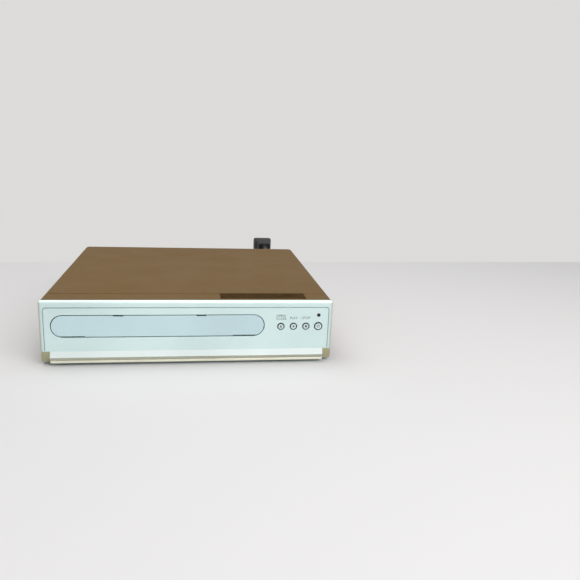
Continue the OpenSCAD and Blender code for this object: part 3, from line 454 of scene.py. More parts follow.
def soften(rows):
    """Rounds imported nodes: each row is a node, body, slot, finish and width in metres."""
    for node, body, slot, finish_name, width in rows:
        piece = rounded(core_of(node, f"{node}_part"), width)
        hand_over(smooth(piece), body, slot, finish_name, node)


# Shader nodes, and the effects that several finishes share -------------------


def feed(tree, socket, value):
    """Links a socket to another, or sets its value."""
    if isinstance(value, bpy.types.NodeSocket):
        tree.links.new(value, socket)
    else:
        socket.default_value = value


def put(tree, kind, inputs=None, **values):
    """Adds a node; `inputs` feeds its sockets, and plain values set its own settings."""
    node = tree.nodes.new(kind)
    for key, value in values.items():
        setattr(node, key, value)
    for key, value in (inputs or {}).items():
        feed(tree, node.inputs[key], value)
    return node


def maths(tree, operation, *sides, clamp=False):
    """A Math node; each side is a socket or a number."""
    node = put(tree, "ShaderNodeMath", dict(enumerate(sides)), operation=operation,
               use_clamp=clamp)
    return node.outputs[0]


def times(tree, *sides, clamp=False):
    """The product of two sockets or numbers."""
    return maths(tree, "MULTIPLY", *sides, clamp=clamp)


def spread_range(tree, value, low, high, new_low=0.0, new_high=1.0):
    """Maps a span of a value to another span, and stops at its ends."""
    return put(tree, "ShaderNodeMapRange", {
        "Value": value, "From Min": low, "From Max": high,
        "To Min": new_low, "To Max": new_high}).outputs["Result"]


def noise(tree, vector, scale, detail=3.0, rough=0.55):
    """A noise texture's value."""
    return put(tree, "ShaderNodeTexNoise", {
        "Vector": vector, "Scale": scale, "Detail": detail, "Roughness": rough}).outputs["Fac"]


def blend_colour(tree, mask, first, second):
    """Mixes two colours, or a socket and a colour, by a mask."""
    first, second = (side if isinstance(side, bpy.types.NodeSocket) else (*side, 1)
                     for side in (first, second))
    return put(tree, "ShaderNodeMix", {0: mask, 6: first, 7: second},
               data_type="RGBA").outputs[2]


def blend_shader(tree, mask, first, second, out):
    """Mixes two shader nodes by a mask into an output node."""
    mix = put(tree, "ShaderNodeMixShader", {
        0: mask, 1: first.outputs[0], 2: second.outputs[0]})
    tree.links.new(mix.outputs[0], out.inputs["Surface"])


def seen_directly(tree):
    """1 for rays from the camera, from gloss and through glass, else 0."""
    path = put(tree, "ShaderNodeLightPath").outputs
    through = maths(tree, "MAXIMUM", path["Is Glossy Ray"], path["Is Transmission Ray"])
    return maths(tree, "MAXIMUM", path["Is Camera Ray"], through)


def label_of(key):
    """A socket's label from a plain name."""
    return key.replace("_", " ").title()


def new_group(name, **inputs):
    """A shader group that reads a place and named inputs, and the sockets that give them."""
    group = bpy.data.node_groups.new(name, "ShaderNodeTree")
    group.interface.new_socket(name="Place", in_out="INPUT", socket_type="NodeSocketVector")
    for key, default in inputs.items():
        kind = "NodeSocketVector" if isinstance(default, tuple) else "NodeSocketFloat"
        socket = group.interface.new_socket(name=label_of(key), in_out="INPUT", socket_type=kind)
        socket.default_value = default
    given = group.nodes.new("NodeGroupInput").outputs
    return group, *given[:len(inputs) + 1]


def give(group, **values):
    """Gives a group its outputs, each fed by a socket."""
    for key in values:
        group.interface.new_socket(name=label_of(key), in_out="OUTPUT",
                                   socket_type="NodeSocketFloat")
    put(group, "NodeGroupOutput", {label_of(key): value for key, value in values.items()})
    return group


def group_cloud():
    """Soft uneven patches: a mask for colour and a value for roughness."""
    group, place, size, low, high = new_group("soft_patches", size=40.0, low_rough=0.3,
                                              high_rough=0.5)
    mask = spread_range(group, noise(group, place, size), 0.35, 0.65)
    fine = noise(group, place, times(group, size, 3.3), 4.0)
    return give(group, mask=mask, roughness=spread_range(group, fine, 0.3, 0.7, low, high))


def group_grain():
    """Fine spark-eroded grain of a moulded surface, as a height."""
    group, place, size = new_group("mould_grain", size=1800.0)
    coarse = noise(group, place, size, 2.0)
    fine = noise(group, place, times(group, size, 2.7), 1.0)
    return give(group, height=maths(group, "ADD", times(group, coarse, 0.65),
                                    times(group, fine, 0.35)))


def group_flake():
    """Flakes in a metallic paint or a plated sheet's spangle: each cell has its own tone."""
    group, place, size = new_group("flakes", size=3000.0)
    cells = put(group, "ShaderNodeTexVoronoi", {"Vector": place, "Scale": size})
    tone = put(group, "ShaderNodeSeparateColor", {"Color": cells.outputs["Color"]}).outputs
    return give(group, mask=tone["Red"], height=tone["Green"])


def group_lines():
    """Fine lines along one way, from rolling, drawing or brushing."""
    group, place, stretch = new_group("drawn_lines", stretch=(1.0, 1.0, 1.0))
    along = put(group, "ShaderNodeVectorMath", {0: place, 1: stretch}, operation="MULTIPLY")
    lines = noise(group, along.outputs[0], 1.0, 4.0, 0.6)
    return give(group, mask=spread_range(group, lines, 0.3, 0.7), height=lines)


def group_edges():
    """Where a piece's edges are, broken up as wear is: the mask for rubbed edges and for a painted
    highlight along them.
    """
    group, place, reach, amount = new_group("rubbed_edges", reach=0.0005, amount=0.5)
    bent = put(group, "ShaderNodeBevel", {"Radius": reach}, samples=4)
    straight = put(group, "ShaderNodeNewGeometry")
    same = put(group, "ShaderNodeVectorMath", {
        0: bent.outputs["Normal"], 1: straight.outputs["Normal"]}, operation="DOT_PRODUCT")
    edge = spread_range(group, same.outputs["Value"], 0.985, 0.8)
    broken = spread_range(group, noise(group, place, 260.0), 0.4, 0.62)
    return give(group, mask=times(group, times(group, edge, broken), amount, clamp=True))


def group_dust():
    """Dust that settles on faces that look up."""
    group, place, amount = new_group("settled_dust", amount=0.2)
    facing = put(group, "ShaderNodeNewGeometry")
    parts = put(group, "ShaderNodeSeparateXYZ", {0: facing.outputs["Normal"]})
    level = spread_range(group, parts.outputs["Z"], 0.6, 0.98)
    patches = spread_range(group, noise(group, place, 35.0, 6.0, 0.7), 0.42, 0.75)
    return give(group, mask=times(group, times(group, level, patches), amount, clamp=True))


def group_tracks():
    """Copper tracks and solder dots under a board's lacquer."""
    group, place, pitch = new_group("board_tracks", pitch=400.0)
    bricks = put(group, "ShaderNodeTexBrick", {
        "Vector": place, "Scale": times(group, pitch, 0.25), "Mortar Size": 0.014,
        "Mortar Smooth": 0.1, "Brick Width": 0.9, "Row Height": 0.22,
        "Color1": (0, 0, 0, 1), "Color2": (0, 0, 0, 1), "Mortar": (1, 1, 1, 1)},
        offset=0.37, squash=1.6, squash_frequency=3)
    spots = put(group, "ShaderNodeTexVoronoi", {
        "Vector": place, "Scale": pitch, "Randomness": 0.35})
    dots = spread_range(group, spots.outputs["Distance"], 0.2, 0.17)
    tracks = bricks.outputs["Fac"]
    return give(group, tracks=tracks, dots=dots, height=maths(group, "MAXIMUM", tracks, dots))


# Finishes -------------------------------------------------------------------

GROUPS = {}
FINISHES = {}
DUST, SOLDER = (0.42, 0.39, 0.35), (0.42, 0.41, 0.38)
# How much lighter or darker the marks of a relief are than the finish itself
MARKS = {"flake": 1.45, "lines": 0.72, "tracks": 1.9}


def use_group(tree, key, place, **values):
    """Places a shared effect in a material with its own values, and gives its outputs."""
    inputs = {label_of(name): value for name, value in values.items()}
    return put(tree, "ShaderNodeGroup", {"Place": place, **inputs}, node_tree=GROUPS[key]).outputs


def shaded(tone, factor):
    """A colour made lighter or darker."""
    return tuple(min(1.0, part * factor) for part in tone)


def finish(name, base, rough=(0.35, 0.5), metal=0.0, second=0.9, patch=40.0, relief="grain",
           size=1800.0, stretch=(30, 30, 900), depth=0.06, height=0.0001, edge=0.25, reach=0.0004,
           edge_wear_and_highlight_colour=None, dust=0.0, fleck=0.0, coat=0.0, specular=None, rim=None):
    """A finish with patches, relief, rubbed edges with a painted highlight, and dust, kept under its
    name.

    The second tone is a colour or a share of the first. A rim gives a colour that takes over
    between two distances from the middle; on the face that colour is a painted shade on the flanks.
    """
    material = bpy.data.materials.new(name)
    material.use_nodes = True
    material.diffuse_color = (*base, 1)
    tree = material.node_tree
    place = put(tree, "ShaderNodeTexCoord").outputs["Object"]
    cloud = use_group(tree, "cloud", place, size=patch, low_rough=rough[0], high_rough=rough[1])
    low_tone = shaded(base, second) if isinstance(second, float) else second
    tone = blend_colour(tree, cloud["Mask"], base, low_tone)
    pattern = {"lines": {"stretch": stretch}, "tracks": {"pitch": size}}
    marks = use_group(tree, relief, place, **pattern.get(relief, {"size": size}))
    if relief == "tracks":
        lighter = shaded(base, MARKS[relief])
        tone = blend_colour(tree, times(tree, marks["Tracks"], 0.8), tone, lighter)
        tone = blend_colour(tree, marks["Dots"], tone, SOLDER)
    elif relief in MARKS:
        tone = blend_colour(tree, times(tree, marks["Mask"], fleck), tone,
                            shaded(base, MARKS[relief]))
    # Lighter edges: part rubbing wear, part a painted highlight along the edges.
    if edge:
        worn_and_highlit = use_group(tree, "edges", place, reach=reach, amount=edge)
        tone = blend_colour(tree, worn_and_highlit["Mask"], tone, edge_wear_and_highlight_colour or shaded(base, 1.5))
    if dust:
        film = use_group(tree, "dust", place, amount=dust)
        tone = blend_colour(tree, film["Mask"], tone, DUST)
    # A colour by distance from the middle: on the face, painted shade on the rounded flanks.
    if rim:
        flank_shade_colour, start, end = rim
        axes = put(tree, "ShaderNodeSeparateXYZ", {0: place})
        out = spread_range(tree, maths(tree, "ABSOLUTE", axes.outputs["X"]), start * MM,
                           end * MM)
        tone = blend_colour(tree, out, tone, flank_shade_colour)
    bump = put(tree, "ShaderNodeBump", {
        "Strength": depth, "Distance": height, "Height": marks["Height"]})
    surface = {"Base Color": tone, "Roughness": cloud["Roughness"], "Metallic": metal,
               "Coat Weight": coat, "Normal": bump.outputs["Normal"]}
    if coat:
        surface["Coat Roughness"] = 0.12
    if specular is not None:
        surface["Specular IOR Level"] = specular
    for key, value in surface.items():
        feed(tree, tree.nodes["Principled BSDF"].inputs[key], value)
    FINISHES[name] = material
    return material


def glass_finish(name, tint, rough):
    """Clear or coated glass with faint smears."""
    material = finish(name, tint, rough=rough, patch=120.0, edge=0.0, depth=0.02)
    shader = material.node_tree.nodes["Principled BSDF"]
    shader.inputs["Transmission Weight"].default_value = 1.0
    shader.inputs["IOR"].default_value = 1.5


class PLAYER_OT_camera(bpy.types.Operator):
    """Puts the camera in front of the player, a little above and to its right."""

    bl_idname = "player.camera"
    bl_label = "Camera"

    def execute(self, context):
        level = math.cos(CAMERA_PITCH)
        ahead = Vector((math.sin(CAMERA_YAW) * level, math.cos(CAMERA_YAW) * level,
                        -math.sin(CAMERA_PITCH)))
        side = Vector((math.cos(CAMERA_YAW), -math.sin(CAMERA_YAW), 0))
        top = side.cross(ahead)
        lean, rise = math.sin(CAMERA_ROLL), math.cos(CAMERA_ROLL)
        axes = Matrix((side * rise + top * lean, top * rise - side * lean, -ahead))
        deselect()
        bpy.ops.object.camera_add(location=CAMERA_PLACE * MM)
        camera = context.object
        camera.name = "camera"
        camera.rotation_euler = axes.transposed().to_euler()
        camera.data.sensor_width = CAMERA_SENSOR
        camera.data.lens = CAMERA_LENS
        context.scene.camera = camera
        return {"FINISHED"}


# Each row: name, colour or the sidebar's name for it, roughness from and to, metal, second tone,
# patches a metre, relief, its marks a metre, and what else differs
FINISH_ROWS = (
    # Painted highlight: the lip's upward slope is painted near white, as the light it catches.
    ("lip_paint", (0.78, 0.87, 0.85), (0.42, 0.55), 0.0, 0.9, 14.0, "flake", 5200.0,
     dict(depth=0.05, edge=0.2, fleck=0.15, specular=0.3)),
    # Painted shade with a painted warm reflection on the chin's downward faces under the lip.
    ("chin_paint", "chin", (0.40, 0.52), 0.15, 0.88, 16.0, "flake", 5200.0,
     dict(depth=0.05, edge=0.2, fleck=0.2)),
    # Painted shade with a painted warm reflection on the chin's ends beside the lip.
    ("corner_paint", "corner", (0.40, 0.52), 0.15, 0.88, 16.0, "flake", 5200.0,
     dict(depth=0.05, edge=0.2, fleck=0.2)),
    # Painted highlight: the foot's thin front band is painted pale cream, as its lit edge.
    ("foot_line", (0.90, 0.89, 0.73), (0.30, 0.42), 0.1, 0.9, 30.0, "grain", 1800.0,
     dict(edge=0.0)),
    ("door_paint", "door", (0.28, 0.40), 0.3, 0.86, 11.0, "flake", 5200.0,
     dict(depth=0.05, edge=0.2, fleck=0.25, coat=0.15)),
    ("button_plastic", "button", (0.25, 0.38), 0.1, 0.9, 40.0, "grain", 2600.0,
     dict(edge=0.3, edge_wear_and_highlight_colour=(0.75, 0.83, 0.83), coat=0.2)),
    ("cover_paint", "cover", (0.54, 0.68), 0.25, 0.96, 7.0, "flake", 3600.0,
     dict(depth=0.16, edge=0.35, edge_wear_and_highlight_colour=(0.42, 0.36, 0.27), dust=0.015, fleck=0.35,
          specular=0.06)),
    ("zinc_sheet", "zinc", (0.36, 0.44), 0.9, 0.9, 90.0, "flake", 190.0,
     dict(depth=0.05, edge=0.3, edge_wear_and_highlight_colour=(0.62, 0.62, 0.60), fleck=0.35)),
    ("rolled_steel", (0.34, 0.34, 0.33), (0.38, 0.5), 0.9, 0.9, 50.0, "lines", 0.0,
     dict(stretch=(900, 40, 900), depth=0.08, edge=0.3, fleck=0.4)),
    ("bright_steel", (0.62, 0.62, 0.60), (0.14, 0.26), 1.0, 0.9, 200.0, "lines", 0.0,
     dict(stretch=(500, 500, 3000), depth=0.04, edge=0.2, fleck=0.25)),
    ("dark_screw", (0.03, 0.03, 0.032), (0.3, 0.45), 0.6, 0.9, 300.0, "grain", 4000.0,
     dict(edge=0.6, reach=0.0003, edge_wear_and_highlight_colour=(0.28, 0.27, 0.25))),
    ("nickel", (0.66, 0.64, 0.60), (0.16, 0.3), 1.0, 0.9, 160.0, "lines", 0.0,
     dict(stretch=(800, 60, 800), depth=0.04, edge=0.2, fleck=0.3)),
    ("rubber", "rubber", (0.62, 0.8), 0.0, 1.5, 90.0, "grain", 2400.0,
     dict(depth=0.22, edge=0.3, edge_wear_and_highlight_colour=(0.06, 0.06, 0.06), dust=0.15)),
    ("face_ink", "ink", (0.45, 0.6), 0.0, 1.4, 700.0, "grain", 6000.0, dict(edge=0.0)),
    ("label_film", "label", (0.55, 0.75), 0.0, (0.056, 0.030, 0.007), 90.0, "flake", 1900.0,
     dict(edge=0.4, edge_wear_and_highlight_colour=(0.16, 0.11, 0.05), fleck=0.15, specular=0.03)),
    ("window_plastic", (0.012, 0.008, 0.012), (0.08, 0.16), 0.0, 0.9, 300.0, "grain", 3000.0,
     dict(depth=0.02, edge=0.0, coat=0.25, specular=0.3)),
    ("tray_plastic", "tray", (0.42, 0.58), 0.0, 1.25, 26.0, "grain", 2200.0,
     dict(depth=0.16, edge=0.35, edge_wear_and_highlight_colour=(0.13, 0.13, 0.14))),
    ("frame_plastic", "frame", (0.45, 0.62), 0.0, 1.4, 40.0, "grain", 1700.0,
     dict(depth=0.2, edge=0.3, edge_wear_and_highlight_colour=(0.07, 0.07, 0.075), dust=0.1)),
    ("gear_acetal", "gear", (0.32, 0.45), 0.0, 0.9, 70.0, "grain", 1500.0,
     dict(depth=0.05, edge=0.2, edge_wear_and_highlight_colour=(0.85, 0.84, 0.8))),
    ("green_board", "board_green", (0.22, 0.36), 0.0, 1.25, 60.0, "tracks", 420.0,
     dict(depth=0.25, height=0.00005, edge=0.3, reach=0.0003, edge_wear_and_highlight_colour=(0.30, 0.26, 0.12),
          coat=0.3)),
    ("tan_board", "board_tan", (0.4, 0.55), 0.0, 0.86, 60.0, "tracks", 230.0,
     dict(depth=0.2, height=0.00005, reach=0.0003)),
    ("chip_epoxy", (0.018, 0.018, 0.02), (0.4, 0.55), 0.0, (0.03, 0.03, 0.033), 150.0, "grain",
     3200.0, dict(depth=0.14, edge=0.2, edge_wear_and_highlight_colour=(0.06, 0.06, 0.06))),
    ("socket_black", (0.02, 0.02, 0.022), (0.3, 0.44), 0.0, 0.9, 60.0, "grain", 1500.0,
     dict(depth=0.12, edge=0.3, edge_wear_and_highlight_colour=(0.08, 0.08, 0.08), dust=0.1)),
    ("nylon_ivory", (0.70, 0.65, 0.52), (0.34, 0.48), 0.0, 0.9, 90.0, "grain", 2500.0,
     dict(edge=0.2, edge_wear_and_highlight_colour=(0.85, 0.82, 0.72))),
    ("ferrite", (0.035, 0.034, 0.033), (0.55, 0.7), 0.1, (0.055, 0.053, 0.05), 220.0, "grain",
     2600.0, dict(depth=0.3, edge=0.4, edge_wear_and_highlight_colour=(0.12, 0.12, 0.12))),
    ("yellow_tape", (0.60, 0.42, 0.05), (0.22, 0.34), 0.0, 0.9, 60.0, "lines", 0.0,
     dict(stretch=(40, 40, 900), depth=0.1, edge=0.0, fleck=0.35, coat=0.3)),
    ("can_sleeve", (0.010, 0.016, 0.07), (0.22, 0.34), 0.0, 0.9, 200.0, "lines", 0.0,
     dict(stretch=(60, 60, 700), depth=0.05, edge=0.2, fleck=0.2, coat=0.3)),
    ("can_top", (0.60, 0.60, 0.60), (0.22, 0.36), 1.0, 0.9, 300.0, "lines", 0.0,
     dict(stretch=(1500, 90, 90), depth=0.05, edge=0.2, fleck=0.3)),
    ("drawn_aluminium", (0.62, 0.63, 0.64), (0.26, 0.4), 1.0, 0.9, 80.0, "lines", 0.0,
     dict(stretch=(60, 60, 2200), depth=0.1, edge=0.2, fleck=0.35)),
    ("magnet_grey", (0.07, 0.07, 0.072), (0.5, 0.65), 0.5, (0.10, 0.10, 0.10), 260.0, "grain",
     2800.0, dict(depth=0.3, edge=0.4, edge_wear_and_highlight_colour=(0.2, 0.2, 0.2))),
    ("table_plastic", (0.60, 0.60, 0.57), (0.35, 0.48), 0.0, 0.9, 90.0, "grain", 2600.0,
     dict(depth=0.08, edge=0.2)),
    ("ribbon_white", (0.66, 0.66, 0.63), (0.3, 0.42), 0.0, (0.56, 0.56, 0.54), 90.0, "lines",
     0.0, dict(stretch=(20, 1300, 20), depth=0.3, edge=0.0, fleck=0.5)),
    ("mains_sheath", "cable", (0.42, 0.58), 0.0, 1.7, 120.0, "grain", 1600.0,
     dict(depth=0.2, edge=0.0, dust=0.12)),
    ("plug_vinyl", "cable", (0.42, 0.58), 0.0, 1.5, 90.0, "grain", 1900.0,
     dict(depth=0.18, edge_wear_and_highlight_colour=(0.035, 0.035, 0.035), dust=0.02, specular=0.2)),
    ("brass_plate", (0.60, 0.55, 0.42), (0.2, 0.34), 1.0, 0.9, 200.0, "lines", 0.0,
     dict(stretch=(700, 60, 700), depth=0.05, edge=0.3, fleck=0.3)),
)
INSERT_TINTS = {"yellow": (0.72, 0.46, 0.02), "white": (0.74, 0.73, 0.70),
                "red": (0.52, 0.02, 0.02), "orange": (0.70, 0.17, 0.02)}
# The face's paint gives way to the rim colour between these distances from its middle: a painted shade
# on the rounded flanks
FLANK_SHADE_SPAN = (117.6, 119.9)


class PLAYER_OT_finishes(bpy.types.Operator):
    """Builds the shared effects and every finish."""

    bl_idname = "player.finishes"
    bl_label = "Finishes"

    def execute(self, context):
        c = context.scene.player_colours
        GROUPS.update(cloud=group_cloud(), grain=group_grain(), flake=group_flake(),
                      lines=group_lines(), edges=group_edges(), dust=group_dust(),
                      tracks=group_tracks())
        # The face's flanks take the rim colour, a painted shade on the rounded sides.
        finish("face_paint", c.face, (0.30, 0.42), 0.25, c.face_low, 14.0, "flake", 5200.0,
               depth=0.05, edge_wear_and_highlight_colour=(0.75, 0.86, 0.86), fleck=0.22, coat=0.35,
               rim=(c.rim, *FLANK_SHADE_SPAN))
        # Painted shade: the floor of the face's groove is painted darker, as the shade in that recess.
        finish("groove_paint", shaded(c.face, 0.48), (0.5, 0.65), patch=60.0, edge=0.0)
        # Painted shade: a near-black for the gaps round the buttons, where the face meets each cap.
        finish("ring_paint", shaded(c.face, 0.10), (0.5, 0.65), patch=60.0, edge=0.0,
               specular=0.2)
        for name, base, *places, others in FINISH_ROWS:
            base = getattr(c, base) if isinstance(base, str) else base
            finish(name, base, *places, **others)
        for key, tint in INSERT_TINTS.items():
            finish(f"insert_{key}", tint, (0.25, 0.38), 0.0, 0.86, 300.0, "grain", 3000.0,
                   edge=0.15, coat=0.2)
        glass_finish("lens_glass", (0.62, 0.68, 0.92), (0.02, 0.06))
        glass_finish("fuse_glass", (0.92, 0.95, 0.94), (0.02, 0.08))
        return {"FINISHED"}


def eased(share):
    """A soft start and stop between 0 and 1."""
    share = min(1.0, max(0.0, share))
    return share * share * (3 - 2 * share)


def lead_route():
    """The middle of the mains lead from its relief, through its coil, to its plug, in metres."""
    way = LEAD_TO - LEAD_FROM
    route = [Vector((LEAD_FROM.x + x * way.x, LEAD_FROM.y + y * way.y, LEAD_TO.z - z * way.z))
             for x, y, z in LEAD_SHARES]
    for step in range(1, COIL_STEPS + 1):
        angle = COIL_END * step / COIL_STEPS
        radius, height = COIL_OUTER, LEAD_TO.z
        for start, stop, new_radius, new_height in COIL_MOVES:
            share = eased((angle - start) / (stop - start))
            radius += (new_radius - radius) * share
            height += (new_height - height) * share
        turn = math.radians(angle)
        route.append(COIL + Vector((radius * math.cos(turn), radius * math.sin(turn), height)))
    route += [COIL + Vector((x, y, COIL_TOP + z)) for x, y, z in TAIL_STEPS]
    return [point * MM for point in route]


class PLAYER_OT_mains_lead(bpy.types.Operator):
    """Lays the mains lead in its coil, with its tie, its plug and its strain relief."""

    bl_idname = "player.mains_lead"
    bl_label = "Mains lead"

    def execute(self, context):
        s = context.scene.player_sizes
        lead = self.lay_lead(s.lead_diameter)
        tie = self.bend_tie()
        plug = self.mould_plug(s.plug_ribs)
        blades = self.press_blades()
        relief = self.mould_relief()
        hand_over(lead, "case", "cord_black", "mains_sheath", "cord_lead", "cord_coil",
                  "cord_tail")
        hand_over(tie, "case", "tie_black", "plug_vinyl", "cord_tie")
        hand_over(plug, "case", "cord_black", "plug_vinyl", "mains_plug")
        for blade in blades:
            hand_over(blade, "case", "blade_metal", "brass_plate", "plug_blades")
        hand_over(relief, "case", "cord_black", "plug_vinyl", "cord_relief")
        return {"FINISHED"}

    def lay_lead(self, diameter):
        """Draws the lead as one smooth round curve through its route."""
        route = lead_route()
        line = bpy.data.curves.new("mains_lead", "CURVE")
        line.dimensions = "3D"
        line.resolution_u = 4
        line.bevel_depth = diameter / 2
        line.bevel_resolution = 4
        line.use_fill_caps = True
        spline = line.splines.new("BEZIER")
        spline.bezier_points.add(len(route) - 1)
        for knot, place in zip(spline.bezier_points, route):
            knot.co = place
            knot.handle_left_type = knot.handle_right_type = "AUTO"
        lead = bpy.data.objects.new("mains_lead", line)
        bpy.context.scene.collection.objects.link(lead)
        return lead

    def bend_tie(self):
        """Pulls a band tight round the turns at the coil's near side, open over the table."""
        tie = self.wrapped("cord_tie_band", 3.55, 2.0)
        cut(tie, self.wrapped("tie_inside", 2.75, 3.0))
        cut(tie, slab("table_side", around(COIL.x, 5), (COIL.y - 50, COIL.y), (-5, 0.3)))
        return smooth(rounded(tie, 0.00015))

    def wrapped(self, name, size, reach):
        """The hull of rods that lie along x, one on each turn of the lead under the tie."""
        route = [place / MM for place in lead_route()]
        rods = []
        for start, stop in zip(route, route[1:]):
            if start.y > COIL.y - 24 or start.z > COIL_TOP or start.x > COIL.x or stop.x < COIL.x:
                continue
            share = (COIL.x - start.x) / (stop.x - start.x)
            radius = (start.xy - COIL.xy).length * (1 - share) + (stop.xy - COIL.xy).length * share
            height = start.z * (1 - share) + stop.z * share
            rods.append(rod(f"{name}_rod", (COIL.x - reach, COIL.y - radius, height),
                            RIGHT, 2 * reach, size, 28))
        hull = joined(name, rods)
        edit(hull, "VERT", "SELECT")
        bpy.ops.mesh.convex_hull()
        deselect()
        return outward(hull)

    def mould_plug(self, ribs):
        """Tapers the plug's body, cuts its grips and joins its ribbed sleeve."""
        x, y, z = PLUG
        wide, deep, tall = 13.0, 30.0, 18.0
        rear_share = 0.62
        body = slab("mains_plug_body", around(x, wide), (y, y + deep), (z, z + tall))
        pick_faces(body, lambda middle, normal: normal.y < -0.9)
        bpy.ops.transform.resize(value=(rear_share, 1, rear_share))
        bevel_edges(body, 3.2, 5, lambda a, b: abs(a.y - b.y) > 20)
        bevel_edges(body, 1.1, 3, lambda a, b: abs(a.y - b.y) < 0.01 and a.y > y + deep - 0.1)
        taper = wide * (1 - rear_share)
        for side in (-1, 1):
            for rib in range(ribs):
                at = y + 7 + rib * 2.6
                skin = wide * rear_share + taper * (at - y) / deep
                cut(body, slab("grip", (x + side * (skin - 0.8), x + side * 14), (at, at + 1.1),
                               (z + 4.6, z + tall - 4.6)))
        sleeve = self.ribbed(9.5, 3.55, 5.2, 4)
        cut(body, turned("plug_relief", (x, y - 8, z + tall / 2), BACK, sleeve, 32), how="UNION")
        return smooth(rounded(body, 0.00025))

    def ribbed(self, length, small, large, ribs):
        """Steps of a flexible sleeve with rings round it."""
        steps = [(0.0, small * 0.9), (0.4, small)]
        pitch = (length - 1.6) / ribs
        for rib in range(ribs):
            at = 0.9 + rib * pitch
            wide = small + (large - small) * (rib + 1) / ribs
            steps += [(at, wide), (at + pitch * 0.55, wide), (at + pitch * 0.62, wide - 0.7),
                      (at + pitch * 0.95, wide - 0.7)]
        return steps + [(length, large)]

    def press_blades(self):
        """Rounds one flat blade's tip, drills it and copies it to the other side."""
        low, high = box_mm("plug_blades")
        thick = 1.5
        first = slab("plug_blade_left", (low.x, low.x + thick), (low.y, high.y), (low.z, high.z))
        bevel_edges(first, 0.5, 3, lambda a, b: min(a.y, b.y) > high.y - 0.1
                    and abs(a.z - b.z) < 0.1)
        cut(first, rod("blade_hole", (low.x - 1, high.y - 3.4, (low.z + high.z) / 2), RIGHT, 4,
                       1.5, 24))
        smooth(rounded(first, 0.0001))
        return first, copy_of(first, "plug_blade_right", (high.x - low.x - thick, 0, 0))

    def mould_relief(self):
        """Turns the relief: a flange on each side of the rear panel, then rings that taper."""
        x, y, z = LEAD_FROM
        steps = [(0, 7.2), (0.3, 7.5), (2.7, 7.5), (3, 7.3), (3, 5.95), (4, 5.95), (4, 7.3),
                 (4.2, 7.5), (5.6, 7.5), (6, 7.1), (6, 5.2)]
        for rib in range(5):
            wide, at = 5.2 - rib * 0.28, 6 + rib * 3.7
            steps += [(at + 2.5, wide - 0.1), (at + 2.6, wide - 1.0), (at + 3.6, wide - 1.0),
                      (at + 3.7, wide - 0.3)]
        steps += [(25.8, 3.7), (26, 3.4)]
        return turned("strain_relief", (x, y - 26, z), BACK, steps)


# The round of the front's upper edge; the words' foot, and the step between two lines in letters
BROW_ROUND = 2.6
WORD_FOOT, WORD_LINE = 39.0, 0.62
# The receiver's window, over the power button: distances towards the front and radii
LENS_STEPS = ((0, 2.4), (0.15, 2.6), (0.8, 2.6), (0.8, 1.45), (3.15, 1.45), (3.3, 1.3),
              (3.4, 0.9), (3.42, 0.4))


